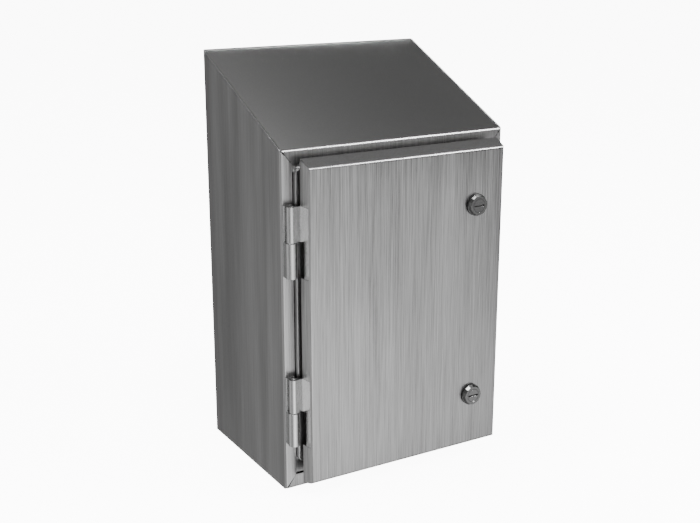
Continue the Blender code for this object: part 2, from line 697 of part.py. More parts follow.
# ---------------------------------------------------------------- fused switch
def make_switch_base():
    """A slab with four barriers, pushed up from its plan."""
    half = 1.5 * POLE_PITCH + BARRIER_T / 2 + EDGE_LAND
    outline = [(-half, BASE_BACK), (-half, BASE_FRONT)]
    for x in (-1.5 * POLE_PITCH, -0.5 * POLE_PITCH, 0.5 * POLE_PITCH, 1.5 * POLE_PITCH):
        a, b = x - BARRIER_T / 2, x + BARRIER_T / 2
        outline += [(a, BASE_FRONT), (a, BARRIER_FRONT), (b, BARRIER_FRONT), (b, BASE_FRONT)]
    outline += [(half, BASE_FRONT), (half, BASE_BACK)]
    base = add_object("switch_base", prism(outline, "Z", SWITCH_LOW, SWITCH_TOP), BLACK_THERMOSET)
    for end, z in (("low", SWITCH_LOW + SCREW_INSET), ("high", SWITCH_TOP - SCREW_INSET)):
        hole = cutter_rod(f"cut_base_{end}", (0.0, BASE_FRONT, z), "Y", SCREW_R + GAP, 4 * BASE_T, 16)
        boolean(base, hole, "DIFFERENCE")
        length = BASE_T + PANEL_T + SCREW_THROUGH
        head = SCREW_HEAD
        screw = [(0.0, head), (SCREW_HEAD_R * 0.7, head), (SCREW_HEAD_R, head * 0.5), (SCREW_HEAD_R, 0.0)]
        screw += [(SCREW_R, 0.0), (SCREW_R, -length), (0.0, -length)]
        place = (0.0, BASE_FRONT - GAP, z)
        turned(f"switch_mounting_screw_{end}", screw, place, "Y", ZINC_STEEL, steps=16)


def make_switch_cover():
    half = 1.5 * POLE_PITCH + BARRIER_T / 2
    low, high = (-half, COVER_FRONT, COVER_LOW), (half, COVER_BACK, COVER_TOP)
    cover = add_object("switch_cover", block(low, high), GREY_NYLON)
    edge = cover.modifiers.new("edge", "BEVEL")
    edge.width = COVER_EDGE
    edge.segments = 2
    hole = cutter_rod("cut_cover_shaft", (0.0, COVER_FRONT, KNOB_Z), "Y", SHAFT_R + GAP, 4 * COVER_DEPTH)
    boolean(cover, hole, "DIFFERENCE")


def make_switch_handle():
    """The operating shaft and its knob, drawn at OFF with the grip level."""
    shaft_back = COVER_BACK - GAP
    knob_back = COVER_FRONT - GAP
    knob_front = knob_back - KNOB_DISC
    socket = KNOB_SOCKET
    length = shaft_back - (knob_back - socket)
    shaft = [(0.0, length), (SHAFT_R, length), (SHAFT_R, 0.0), (0.0, 0.0)]
    turned("switch_shaft", shaft, (0.0, shaft_back, KNOB_Z), "Y", ZINC_STEEL)
    middle = (0.0, (knob_back + knob_front) / 2, KNOB_Z)
    knob = add_object("switch_handle", rod(middle, "Y", KNOB_R, KNOB_DISC, 32), RED_NYLON, middle)
    a, b = GRIP_L / 2, GRIP_W / 2
    grip = [(-a, KNOB_Z - b), (a * 0.7, KNOB_Z - b), (a, KNOB_Z - b * 0.5)]
    grip += [(a, KNOB_Z + b * 0.5), (a * 0.7, KNOB_Z + b), (-a, KNOB_Z + b)]
    bar = add_object("join_grip", prism(grip, "Y", knob_front - GRIP_H, knob_front + KNOB_DISC / 2), None)
    boolean(knob, bar, "UNION")
    bore_y = knob_back - socket - GAP
    bore_length = 2 * (socket + GAP)
    bore = cutter_rod("cut_knob", (0.0, bore_y + bore_length / 2, KNOB_Z), "Y", SHAFT_R + GAP, bore_length)
    boolean(knob, bore, "DIFFERENCE")


def clip_outline(x):
    """Plan of a fuse clip: a flat back and two jaws with a running gap to the ferrule."""
    back = BASE_FRONT - GAP
    inner = FUSE_R + GAP
    outer = inner + CLIP_T
    mouth = back - CLIP_T - 1.7 * FUSE_R
    return [
        (x - outer, back), (x - outer, mouth), (x - inner, mouth), (x - inner, back - CLIP_T),
        (x + inner, back - CLIP_T), (x + inner, mouth), (x + outer, mouth), (x + outer, back),
    ]


def make_pole(name, x):
    """One pole: line lug, upper clip, fuse, lower clip and load lug, from top to bottom."""
    back = BASE_FRONT - GAP
    fuse_bottom = SWITCH_LOW + FUSE_LOW
    fuse_top = fuse_bottom + FUSE_L
    lug_back = back - CLIP_T - GAP
    ends = {
        "line": (fuse_top - CLIP_H, fuse_top, SWITCH_TOP - LUG_INSET - LUG_H, SWITCH_TOP - LUG_INSET),
        "load": (fuse_bottom, fuse_bottom + CLIP_H, SWITCH_LOW + LUG_INSET, SWITCH_LOW + LUG_INSET + LUG_H),
    }
    for end, (clip_low, clip_high, lug_low, lug_high) in ends.items():
        clip = prism(clip_outline(x), "Z", clip_low, clip_high)
        clip = add_object(f"{name}_{end}_fuse_clip", clip, TINNED_COPPER)
        low, high = min(clip_low, lug_low), max(clip_high, lug_high)
        strap = block((x - STRAP_W / 2, back - CLIP_T, low), (x + STRAP_W / 2, back, high))
        boolean(clip, add_object(f"join_strap_{name}_{end}", strap, None), "UNION")
        lug = block((x - LUG_W / 2, lug_back - LUG_D, lug_low), (x + LUG_W / 2, lug_back, lug_high))
        lug = add_object(f"{name}_{end}_lug", lug, ALUMINIUM)
        wire = (x, lug_back - LUG_D * 0.4, (lug_low + lug_high) / 2)
        boolean(lug, cutter_rod(f"cut_wire_{name}_{end}", wire, "Z", LUG_WIRE_R, 2 * LUG_H, 16), "DIFFERENCE")
        screw = (x, lug_back - LUG_D, wire[2])
        clamp = cutter_rod(f"cut_clamp_{name}_{end}", screw, "Y", CLAMP_R, 2 * CLAMP_DEPTH, 16)
        boolean(lug, clamp, "DIFFERENCE")
    waist = FUSE_R - FERRULE_STEP
    half, bevel = FUSE_L / 2, FERRULE_BEVEL
    profile = [
        (0.0, half), (FUSE_R - bevel, half), (FUSE_R, half - bevel), (FUSE_R, half - FERRULE_L),
        (waist, half - FERRULE_L), (waist, FERRULE_L - half), (FUSE_R, FERRULE_L - half),
        (FUSE_R, bevel - half), (FUSE_R - bevel, -half), (0.0, -half),
    ]
    centre = (x, back - CLIP_T - GAP - FUSE_R, (fuse_bottom + fuse_top) / 2)
    turned(f"{name}_fuse", profile, centre, "Z", FUSE_BODY)


def main():
    make_body_wrap()
    make_sloped_top()
    make_bottom_panel()
    make_door_collar()
    make_door_pan()
    make_door_gasket()
    for name, z in HINGE_HEIGHTS.items():
        make_hinge(name, z)
    for name, z in LATCH_HEIGHTS.items():
        make_latch(name, z)
    make_panel()
    make_earth_studs()
    make_switch_base()
    make_switch_cover()
    make_switch_handle()
    for name, x in POLES.items():
        make_pole(name, x)


for old in list(bpy.data.objects):
    bpy.data.objects.remove(old, do_unlink=True)
PARTS = new_collection("fused_disconnect_enclosure")
CUTTERS = new_collection("cutters")
main()
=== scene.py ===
# %% [markdown]
# # A sloped-top stainless enclosure with a fused switch inside
# The object is a wall box folded from 2 mm brushed stainless sheet. Its door hangs on two lift hinges and
# is held by two slotted quarter-turn latches. Inside, a three-pole fused switch stands on a white panel.
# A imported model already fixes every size, place and joint. This script builds the fine surfaces round it,
# so that bends catch the light, seams stay open and each finish looks like the real one.

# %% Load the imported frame
import math

import bmesh
import bpy
from mathutils import Matrix, Vector


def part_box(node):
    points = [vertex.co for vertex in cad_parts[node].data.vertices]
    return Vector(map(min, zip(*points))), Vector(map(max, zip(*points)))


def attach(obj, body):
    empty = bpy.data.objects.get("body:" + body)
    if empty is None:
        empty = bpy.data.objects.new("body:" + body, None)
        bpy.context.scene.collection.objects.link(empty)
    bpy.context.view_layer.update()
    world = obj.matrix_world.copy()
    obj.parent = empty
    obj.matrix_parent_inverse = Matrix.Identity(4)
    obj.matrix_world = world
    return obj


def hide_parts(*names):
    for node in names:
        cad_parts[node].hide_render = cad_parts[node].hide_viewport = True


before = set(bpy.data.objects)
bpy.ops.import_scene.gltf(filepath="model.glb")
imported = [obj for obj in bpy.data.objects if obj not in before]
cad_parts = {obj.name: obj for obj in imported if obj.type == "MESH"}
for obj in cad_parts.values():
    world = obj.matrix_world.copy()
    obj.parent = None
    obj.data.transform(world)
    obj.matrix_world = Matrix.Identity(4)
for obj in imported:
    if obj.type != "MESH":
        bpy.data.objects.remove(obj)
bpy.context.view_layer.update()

# %% [markdown]
# Every size comes from the frame's own boxes where it can. What a box can't tell, such as the sheet's
# thickness or a bend's radius, is named once here, in metres.

# %% Sizes of the sheet metal
wrap_low, wrap_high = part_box("body_wrap")
LEFT, FRONT = wrap_low.x, wrap_low.y
RIGHT, BACK, BACK_H = wrap_high.x, wrap_high.y, wrap_high.z
SLOPE = math.radians(24.6)
FRONT_H = BACK_H - (BACK - FRONT) * math.tan(SLOPE)
SHEET = 0.002
SEAM = 0.0003
BEND = 0.003
FLANGE_SIDE, FLANGE_LOW, FLANGE_HIGH = 0.0145, 0.017, 0.0156
WALL_HOLE, WALL_HOLE_R = 0.0325, 0.004
# the thin round that a cut sheet edge gets when it is deburred
DEBURR = 0.0003
print(f"body {RIGHT - LEFT:.4f} wide, front {FRONT_H:.4f} high, back {BACK_H:.4f} high")

# %% [markdown]
# A few small helpers shape nearly everything: a block, a plate pushed up from a flat outline, a turned
# piece spun round an axis, and a bevel that rounds the edges sharper than an angle. Real edges are never
# knife sharp, and the thin round is what draws a bright line along each bend.


# %% Shape helpers
def block(low, high):
    """A box between two corners."""
    bm = bmesh.new()
    low, high = Vector(low), Vector(high)
    size = Matrix.Diagonal((*(high - low), 1.0))
    bmesh.ops.create_cube(bm, size=1.0, matrix=Matrix.Translation((low + high) / 2) @ size)
    return bm


def points_in(geometry):
    """The vertices among what an operator hands back."""
    return [item for item in geometry if isinstance(item, bmesh.types.BMVert)]


def open_line(bm, points):
    """A run of edges through points, as its vertices and its edges."""
    verts = [bm.verts.new(point) for point in points]
    return verts, [bm.edges.new(pair) for pair in zip(verts, verts[1:])]


def plate(outline, axis, low, high):
    """A flat outline pushed along X, Y or Z; its two numbers are the other axes in order."""
    spot = {
        "X": lambda a, b: (low, a, b),
        "Y": lambda a, b: (a, low, b),
        "Z": lambda a, b: (a, b, low),
    }[axis]
    along = {"X": Vector((1, 0, 0)), "Y": Vector((0, 1, 0)), "Z": Vector((0, 0, 1))}[axis]
    bm = bmesh.new()
    corners = [bm.verts.new(spot(a, b)) for a, b in outline]
    rim = [bm.edges.new((corners[i - 1], corners[i])) for i in range(len(corners))]
    face = bmesh.ops.contextual_create(bm, geom=rim)["faces"]
    pushed = bmesh.ops.extrude_face_region(bm, geom=face, use_keep_orig=True)["geom"]
    bmesh.ops.translate(bm, vec=along * (high - low), verts=points_in(pushed))
    return bm


TURN = {
    "X": Matrix.Rotation(math.pi / 2, 4, "Y"),
    "Y": Matrix.Rotation(math.pi / 2, 4, "X"),
    "Z": Matrix.Identity(4),
}


def turned(profile, centre, axis, steps=48, closed=False):
    """Radius and height pairs spun round an axis; heights run along +Z, or along -Y for axis Y."""
    bm = bmesh.new()
    points, lines = open_line(bm, [(radius, 0.0, height) for radius, height in profile])
    if closed:
        lines.append(bm.edges.new((points[-1], points[0])))
    bmesh.ops.spin(
        bm, geom=points + lines, cent=(0, 0, 0), axis=(0, 0, 1), angle=math.tau, steps=steps, use_merge=True
    )
    bmesh.ops.remove_doubles(bm, verts=bm.verts, dist=0.000005)
    bmesh.ops.transform(bm, matrix=Matrix.Translation(Vector(centre)) @ TURN[axis], verts=bm.verts)
    return bm


def soften(bm, width, segments=2, angle=30.0, only=None):
    """Round the edges that fold by more than an angle."""
    bmesh.ops.recalc_face_normals(bm, faces=bm.faces)
    folded = [e for e in bm.edges if e.is_manifold and math.degrees(e.calc_face_angle(0.0)) > angle]
    chosen = [e for e in folded if only is None or only(e)]
    bmesh.ops.bevel(
        bm, geom=chosen, offset=width, segments=segments, profile=0.5, affect="EDGES",
        material=-1, clamp_overlap=True,
    )
    return bm


def dome(radius, base, height, inner=0.0):
    """Radius and height pairs from the top of a low dome down to its rim."""
    turns = [math.radians(angle) for angle in (0, 30, 60, 90)]
    return [(inner + radius * math.sin(t), base + height * math.cos(t)) for t in turns]


def arc(centre, radius, start, end, count):
    """Points on an arc, angles in degrees."""
    turns = [math.radians(start + (end - start) * i / (count - 1)) for i in range(count)]
    return [(centre[0] + radius * math.cos(t), centre[1] + radius * math.sin(t)) for t in turns]


# %% [markdown]
# Sheet gets its thickness from a Solidify step, and holes come from Boolean cuts. Both are modifiers in
# the editor. Here each one is run at once on a work object and its result is read back, so the finished
# piece is plain mesh and its patterns stay put when it is exported.


# %% Modifier helpers
def make_object(name, bm):
    """Turn a bmesh into an object in the scene."""
    mesh = bpy.data.meshes.new(name)
    bm.to_mesh(mesh)
    bm.free()
    made = bpy.data.objects.new(name, mesh)
    bpy.context.scene.collection.objects.link(made)
    return made


def settle(bm, kind, **settings):
    """Run one modifier over a bmesh and hand back the result."""
    work = make_object("work", bm)
    step = work.modifiers.new("step", kind)
    for name, value in settings.items():
        setattr(step, name, value)
    done = work.evaluated_get(bpy.context.evaluated_depsgraph_get())
    result = bmesh.new()
    result.from_mesh(done.to_mesh())
    done.to_mesh_clear()
    bpy.data.meshes.remove(work.data)
    return result


def carve(bm, tool, operation="DIFFERENCE"):
    """Cut one closed bmesh by another, or keep what they share."""
    for shape in (bm, tool):
        bmesh.ops.recalc_face_normals(shape, faces=shape.faces)
    cutter = make_object("tool", tool)
    result = settle(bm, "BOOLEAN", operation=operation, solver="EXACT", object=cutter)
    bpy.data.meshes.remove(cutter.data)
    return result


def drill(bm, radius, reach, centre, axis, steps=48):
    """Drill a round hole that reaches both ways from its centre."""
    bore = [(0, reach), (radius, reach), (radius, -reach), (0, -reach)]
    return carve(bm, turned(bore, centre, axis, steps))


def sheet_metal(bm, outward):
    """Give an open surface the sheet's thickness, on the side away from outward."""
    bmesh.ops.recalc_face_normals(bm, faces=bm.faces)
    largest = max(bm.faces, key=lambda face: face.normal.dot(outward) ** 2 * face.calc_area())
    if largest.normal.dot(outward) < 0:
        bmesh.ops.reverse_faces(bm, faces=bm.faces)
    return settle(bm, "SOLIDIFY", thickness=SHEET, offset=-1.0, use_even_offset=True)


# %% [markdown]
# A finished piece needs more than a mesh: a finish, the body it moves with, and the frame node it stands for,
# which is hidden. One function does all of that and prints what it made.


# %% Placing a finished piece
def place(name, bm, finish, body, slot, *nodes, angle=35.0):
    bmesh.ops.remove_doubles(bm, verts=bm.verts, dist=0.000002)
    bmesh.ops.recalc_face_normals(bm, faces=bm.faces)
    piece = make_object(name, bm)
    mesh = piece.data
    mesh.shade_smooth()
    mesh.set_sharp_from_angle(angle=math.radians(angle))
    mesh.materials.append(finish)
    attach(piece, body)
    if nodes:
        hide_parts(*nodes)
    print(f"{name}: {len(mesh.polygons)} faces on {body}")
    return piece


# %% [markdown]
# A finish is a small node tree. One helper adds a node, sets it, links it and hands back one output.
# Colours are written as the hex values a paint chart gives and turned to linear light by one function,
# because the shader works in linear light. A pattern's scale is worked out from the real size of its marks.


# %% Finish helpers
def linear(hex_colour):
    """A hex colour as linear red, green, blue and alpha."""
    parts = [int(hex_colour[i : i + 2], 16) / 255 for i in (0, 2, 4)]
    return (*[c / 12.92 if c <= 0.04045 else ((c + 0.055) / 1.055) ** 2.4 for c in parts], 1.0)


def marks_per_metre(size):
    """The scale that makes a pattern's marks measure size millimetres along X, Y and Z."""
    return tuple(1000.0 / part for part in size)


def add_node(tree, kind, settings=(), links=(), out=0):
    node = tree.nodes.new(kind)
    for name, value in dict(settings).items():
        if isinstance(name, int) or name in node.inputs:
            node.inputs[name].default_value = value
        else:
            setattr(node, name, value)
    for name, source in dict(links).items():
        tree.links.new(source, node.inputs[name])
    return node.outputs[out]


def start_finish(name, **settings):
    """A new material with its Principled shader set, and its tree and Object coordinates."""
    made = bpy.data.materials.new(name)
    made.use_nodes = True
    tree = made.node_tree
    shader = tree.nodes["Principled BSDF"]
    for key, value in settings.items():
        shader.inputs[key.replace("_", " ").title()].default_value = value
    return made, tree, shader, add_node(tree, "ShaderNodeTexCoord", out="Object")


def end_finish(made, sources):
    """Link what the patterns give to the shader."""
    tree = made.node_tree
    for name, source in sources.items():
        tree.links.new(source, tree.nodes["Principled BSDF"].inputs[name])
    return made


# %% [markdown]
# Brushed stainless, number 4 finish: abrasive belts leave fine parallel scratches, here up and down on
# standing faces. The real scratches are 0.1 mm wide, too fine to show, so they are drawn about 1 mm wide,
# with broad soft bands where the belt pressed harder. On lying faces the light runs along the grain, which
# then hardly shows, so those get an even, fine pattern instead. The marks change the colour, the gloss and
# the relief together, because all three come from the same scratch.


# %% Brushed stainless
def brushed(name, dark, light, shiny, dull, side_grain=1.0):
    """Brushed steel; side_grain below 1 calms the grain on the faces that look left or right."""
    made, tree, _, spot = start_finish(name, metallic=1.0)
    patterns = []
    for size, detail, rough in (
        ((1.0, 1.0, 90.0), 3.0, 0.7), ((1.6, 1.6, 1.6), 2.0, 0.6), ((26.0, 26.0, 500.0), 1.0, 0.6),
    ):
        where = add_node(tree, "ShaderNodeMapping", {"Scale": marks_per_metre(size)}, {"Vector": spot})
        noise = {"Scale": 1.0, "Detail": detail, "Roughness": rough}
        patterns.append(add_node(tree, "ShaderNodeTexNoise", noise, {"Vector": where}))
    streaks, fine, bands = patterns
    lying = add_node(tree, "ShaderNodeMapRange", {1: 0.0, 2: 1.0, 3: 0.42, 4: 0.58}, {0: fine})
    normal = add_node(tree, "ShaderNodeNewGeometry", out="Normal")
    facing = add_node(tree, "ShaderNodeSeparateXYZ", links={0: normal}).node.outputs
    turned_to = []
    for part in (0, 2):
        size = add_node(tree, "ShaderNodeMath", {"operation": "ABSOLUTE"}, {0: facing[part]})
        turned_to.append(add_node(tree, "ShaderNodeMath", {"operation": "GREATER_THAN", 1: 0.6}, {0: size}))
    sideways, lies = turned_to
    calm = add_node(tree, "ShaderNodeMath", {"operation": "MULTIPLY", 1: 1.0 - side_grain}, {0: sideways})
    standing = add_node(tree, "ShaderNodeMix", {3: 0.5}, {0: calm, 2: streaks})
    scratches = add_node(tree, "ShaderNodeMix", links={0: lies, 2: standing, 3: lying})
    banded = add_node(tree, "ShaderNodeMix", {0: 0.25}, {2: standing, 3: bands})
    marks = add_node(tree, "ShaderNodeMix", links={0: lies, 2: banded, 3: lying})
    share = add_node(tree, "ShaderNodeMapRange", {1: 0.355, 2: 0.645}, {0: marks})
    shades = {"data_type": "RGBA", 6: linear(dark), 7: linear(light)}
    gloss = {1: 0.355, 2: 0.645, 3: shiny, 4: dull}
    relief = {"Strength": 0.6, "Distance": 0.00004}
    return end_finish(made, {
        "Base Color": add_node(tree, "ShaderNodeMix", shades, {0: share}, 2),
        "Roughness": add_node(tree, "ShaderNodeMapRange", gloss, {0: marks}),
        "Normal": add_node(tree, "ShaderNodeBump", relief, {"Height": scratches}),
    })


STAINLESS = brushed("brushed_stainless_no4", "929292", "D0D0D0", 0.25, 0.43)
# a flatter sheet for the sloped top, whose grain runs across the light and hardly shows
TOP_STAINLESS = brushed("brushed_stainless_top", "A2A2A2", "BEBEBE", 0.29, 0.37)
# the wrap's wide sides are brushed more lightly than its front
BODY_STAINLESS = brushed("brushed_stainless_body", "929292", "D0D0D0", 0.25, 0.43, 0.35)

# %% [markdown]
# The hinges and latch heads are polished after they are pressed. Polishing keeps a trace of the grain,
# so the shine is broken a little instead of mirror clear. The other metals are plated or bare.


# %% Plain metals
def worked_metal(name, dark, light, shiny, dull, size, depth):
    """A bare or plated metal: one pattern varies its colour, gloss and relief."""
    made, tree, _, spot = start_finish(name, metallic=1.0)
    where = add_node(tree, "ShaderNodeMapping", {"Scale": marks_per_metre(size)}, {"Vector": spot})
    noise = {"Scale": 1.0, "Detail": 4.0, "Roughness": 0.6}
    marks = add_node(tree, "ShaderNodeTexNoise", noise, {"Vector": where})
    share = add_node(tree, "ShaderNodeMapRange", {1: 0.35, 2: 0.65}, {0: marks})
    shades = {"data_type": "RGBA", 6: linear(dark), 7: linear(light)}
    gloss = {1: 0.30, 2: 0.70, 3: shiny, 4: dull}
    relief = {"Strength": 0.4, "Distance": depth}
    return end_finish(made, {
        "Base Color": add_node(tree, "ShaderNodeMix", shades, {0: share}, 2),
        "Roughness": add_node(tree, "ShaderNodeMapRange", gloss, {0: marks}),
        "Normal": add_node(tree, "ShaderNodeBump", relief, {"Height": marks}),
    })


# polished 304 stainless: bright, with a faint upright grain
POLISHED = worked_metal("polished_stainless", "BEBEBE", "D6D6D6", 0.22, 0.30, (0.9, 0.9, 22.0), 0.00001)
# cast latch heads: the same steel tumbled bright, with its colour painted darker than the brushed sheet round
# them as a painted dark reflection on their polished faces
TUMBLED_PAINTED_DARK = worked_metal("tumbled_cast_stainless_painted_dark", "6E6E6E", "808080", 0.10, 0.16, (1.2, 1.2, 1.2), 0.000006)
# machined stud stainless: turned, so a little duller
STUD = worked_metal("machined_stainless", "A6A6A6", "C0C0BE", 0.26, 0.36, (2.0, 2.0, 2.0), 0.00001)
# zinc plate with a clear passivate: cool grey with cloudy patches about 5 mm across
ZINC = worked_metal("zinc_plate", "A8ACAD", "C8C9C2", 0.28, 0.42, (5.0, 5.0, 5.0), 0.00001)
# tinned copper: warm where the tin is thin
TINNED = worked_metal("tinned_copper", "B0987E", "CFC4B4", 0.24, 0.38, (6.0, 6.0, 3.0), 0.00001)
# nickel-plated fuse caps: smooth and slightly yellow
NICKEL = worked_metal("nickel_plate", "B2AC9C", "CFCABC", 0.16, 0.24, (4.0, 4.0, 4.0), 0.000005)
# extruded aluminium lugs: die lines run along the extrusion, up and down
ALUMINIUM = worked_metal("extruded_aluminium", "B6B7B8", "D4D5D6", 0.30, 0.42, (0.5, 0.5, 15.0), 0.00002)

# %% [markdown]
# The rest is paint, rubber and moulding. Enamel has a faint orange peel about 2 mm across. Foam rubber is
# dull and pitted. Moulded nylon and thermoset carry the fine spark texture of their steel moulds.


# %% Paint, rubber and mouldings
def moulded(name, dark, light, roughness, size, depth, ior=1.5):
    """A non-metal: colour that drifts over 18 mm, and relief of a real size in millimetres."""
    made, tree, shader, spot = start_finish(name, metallic=0.0, roughness=roughness)
    shader.inputs["IOR"].default_value = ior
    patterns = []
    for across in (18.0, size):
        scale = {"Scale": marks_per_metre((across, across, across))}
        where = add_node(tree, "ShaderNodeMapping", scale, {"Vector": spot})
        noise = {"Scale": 1.0, "Detail": 2.0, "Roughness": 0.6}
        patterns.append(add_node(tree, "ShaderNodeTexNoise", noise, {"Vector": where}))
    clouds, texture = patterns
    share = add_node(tree, "ShaderNodeMapRange", {1: 0.35, 2: 0.65}, {0: clouds})
    shades = {"data_type": "RGBA", 6: linear(dark), 7: linear(light)}
    relief = {"Strength": 0.5, "Distance": depth}
    return end_finish(made, {
        "Base Color": add_node(tree, "ShaderNodeMix", shades, {0: share}, 2),
        "Normal": add_node(tree, "ShaderNodeBump", relief, {"Height": texture}),
    })


# stoved enamel: glossy, with an orange peel that breaks the highlight
ENAMEL = moulded("white_enamel_orange_peel", "E2E2DE", "EBEBE7", 0.32, 2.2, 0.00006)
# cut foam: almost no shine, and pits that keep it dark
RUBBER = moulded("black_foam_rubber", "19191A", "242425", 0.85, 0.7, 0.00012, 1.52)
# pressed thermoset: a hard, even satin
THERMOSET = moulded("black_thermoset", "1E1E20", "2A2A2C", 0.42, 0.5, 0.00003, 1.55)
# nylons: softer than the thermoset, and the red handle a little glossier than the grey cover
NYLON = moulded("grey_glass_filled_nylon", "6A6D70", "777A7D", 0.50, 0.6, 0.00005, 1.53)
RED = moulded("red_nylon", "A81A14", "B8231B", 0.40, 0.6, 0.00004, 1.53)
# wound fibre tube: dry and papery
FIBRE = moulded("cream_fibre_tube", "C9BC97", "D8CDAA", 0.60, 0.4, 0.00004, 1.5)
# pad-printed ink: flat white
WHITE_INK = moulded("white_pad_print", "E8E8E6", "F0F0EE", 0.55, 0.3, 0.00001, 1.5)
print("finishes:", len(bpy.data.materials))

# %% [markdown]
# ## The body
# Both sides, the back and the side flanges are one sheet, bent round four upright corners. A cube with
# its front, top and bottom taken off is already that wrap. The flanges are its front edges pushed
# inwards, with their ends drawn in to the 45 degree corner seams. Then the corners are rounded, the sheet
# gets its thickness and four wall holes are drilled.


# %% Body wrap
def make_body_wrap():
    bm = block((LEFT, FRONT, 0.0), (RIGHT, BACK, FRONT_H))
    for vert in bm.verts:
        if vert.co.y > 0 and vert.co.z > FRONT_H / 2:
            vert.co.z = BACK_H
    gone = [f for f in bm.faces if f.normal.y < -0.5 or abs(f.normal.z) > 0.5]
    bmesh.ops.delete(bm, geom=gone, context="FACES")
    front = [e for e in bm.edges if max(v.co.y for v in e.verts) < 0]
    upright = [e for e in front if abs(e.verts[0].co.z - e.verts[1].co.z) > FRONT_H / 4]
    for vert in points_in(bmesh.ops.extrude_edge_only(bm, edges=upright)["geom"]):
        vert.co.x -= math.copysign(FLANGE_SIDE, vert.co.x)
        vert.co.z = FLANGE_LOW if vert.co.z < FRONT_H / 2 else FRONT_H - FLANGE_HIGH
    soften(bm, BEND, 6, 60.0)
    bm = sheet_metal(bm, Vector((0, 1, 0)))
    for x in (LEFT + WALL_HOLE, RIGHT - WALL_HOLE):
        for z in (WALL_HOLE, FRONT_H - WALL_HOLE):
            bm = drill(bm, WALL_HOLE_R, 0.01, (x, BACK, z), "Y")
    soften(bm, DEBURR, 1, 50.0)
    place("body_wrap_sheet", bm, BODY_STAINLESS, "enclosure", "brushed_stainless", "body_wrap")


make_body_wrap()

# %% [markdown]
# The sloped top and the floor are each a sheet with one bend, set between the sides. A line of three
# points is the bent section. Pushed across the box it becomes the sheet. The ends of the flange are drawn
# in to meet the corner seams, and the long edges are rounded, so that a thin open seam shows along the
# side.


# %% Sloped top and floor
def bent_sheet(section, outward, mitre_fill=0.0):
    """A three-point section, flange end first, pushed across the box between its sides."""
    side = SHEET + SEAM
    bm = bmesh.new()
    _, lines = open_line(bm, [(LEFT + side, y, z) for y, z in section])
    across = points_in(bmesh.ops.extrude_edge_only(bm, edges=lines)["geom"])
    bmesh.ops.translate(bm, vec=(RIGHT - LEFT - 2 * side, 0, 0), verts=across)
    for vert in bm.verts:
        if abs(vert.co.z - section[0][1]) < 0.0001 and abs(vert.co.y - FRONT) < 0.0001:
            vert.co.x -= math.copysign(FLANGE_SIDE - SHEET - mitre_fill, vert.co.x)
    soften(bm, BEND * 0.8, 6, 20.0)

    def along_the_side(edge):
        return max(vert.co.y for vert in edge.verts) > FRONT + BEND

    return soften(sheet_metal(bm, outward), 0.0005, 2, 50.0, along_the_side)


back_end = BACK - SHEET - SEAM
top_end = FRONT_H + (back_end - FRONT) * math.tan(SLOPE)
top_section = [(FRONT, FRONT_H - FLANGE_HIGH), (FRONT, FRONT_H), (back_end, top_end)]
top = bent_sheet(top_section, Vector((0, 0, 1)))
place("sloped_top_sheet", top, TOP_STAINLESS, "enclosure", "brushed_stainless", "sloped_top")
floor_section = [(FRONT, FLANGE_LOW), (FRONT, 0.0), (back_end, 0.0)]
floor_sheet = bent_sheet(floor_section, Vector((0, 0, -1)), 0.0003)
place("floor_sheet", floor_sheet, STAINLESS, "enclosure", "brushed_stainless", "bottom_panel")

# %% [markdown]
# ## The collar and the gasket
# A drip collar stands proud all round the opening: a leaf welded behind the flange, a short rise, a ledge
# and a lip that bites the gasket. It starts as a rectangle whose edges are pushed from step to step, so
# its corners stay in line. The corners are then rounded by a bevel on the edges that run front to back.

# %% Collar sizes
collar_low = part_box("door_collar")[0]
COLLAR_BACK = FRONT + SHEET + SEAM
LIP_Y = collar_low.y
LEDGE_Y = FRONT - 0.0055
COLLAR_SIDE, COLLAR_LOW, COLLAR_HIGH = 0.0155, 0.035, 0.0205
LEDGE = 0.012


# %% Stepped frames
def frame_loop(side, low, high, y):
    """The four corners of a rectangle, by its distances to the body's sides, bottom and top."""
    x0, x1, z0, z1 = LEFT + side, RIGHT - side, low, FRONT_H - high
    return [(x0, y, z0), (x1, y, z0), (x1, y, z1), (x0, y, z1)]


def stepped_frame(loops, closed=False):
    """A rectangle's edges pushed from loop to loop."""
    bm = bmesh.new()
    order = bm.verts.layers.int.new("order")
    corners = [bm.verts.new(point) for point in loops[0]]
    for i, corner in enumerate(corners):
        corner[order] = i
    edges = [bm.edges.new((corners[i - 1], corners[i])) for i in range(4)]
    for loop in loops[1:] + (loops[:1] if closed else []):
        pushed = bmesh.ops.extrude_edge_only(bm, edges=edges)["geom"]
        edges = [item for item in pushed if isinstance(item, bmesh.types.BMEdge)]
        for vert in points_in(pushed):
            vert.co = loop[vert[order]]
    bmesh.ops.remove_doubles(bm, verts=bm.verts, dist=0.000005)
    return bm


def round_corners(bm, radius, segments):
    """Round the corner edges that run front to back."""

    def runs_back(edge):
        way = edge.verts[1].co - edge.verts[0].co
        return abs(way.y) > 0.99 * way.length

    return soften(bm, radius, segments, 60.0, runs_back)


# %% Door collar
def make_collar():
    side, low, high = COLLAR_SIDE, COLLAR_LOW, COLLAR_HIGH
    inner = [value + LEDGE for value in (side, low, high)]
    leaf = collar_low.x - LEFT
    bm = stepped_frame([
        frame_loop(leaf, leaf, leaf, COLLAR_BACK),
        frame_loop(side, low, high, COLLAR_BACK),
        frame_loop(side, low, high, LEDGE_Y),
        frame_loop(*inner, LEDGE_Y),
        frame_loop(*inner, LIP_Y),
    ])
    round_corners(bm, 0.007, 8)
    soften(bm, 0.0009, 3, 60.0)
    bm = soften(sheet_metal(bm, Vector((0, -1, 0))), DEBURR, 1, 50.0)
    place("door_collar_sheet", bm, STAINLESS, "enclosure", "brushed_stainless", "door_collar")


make_collar()


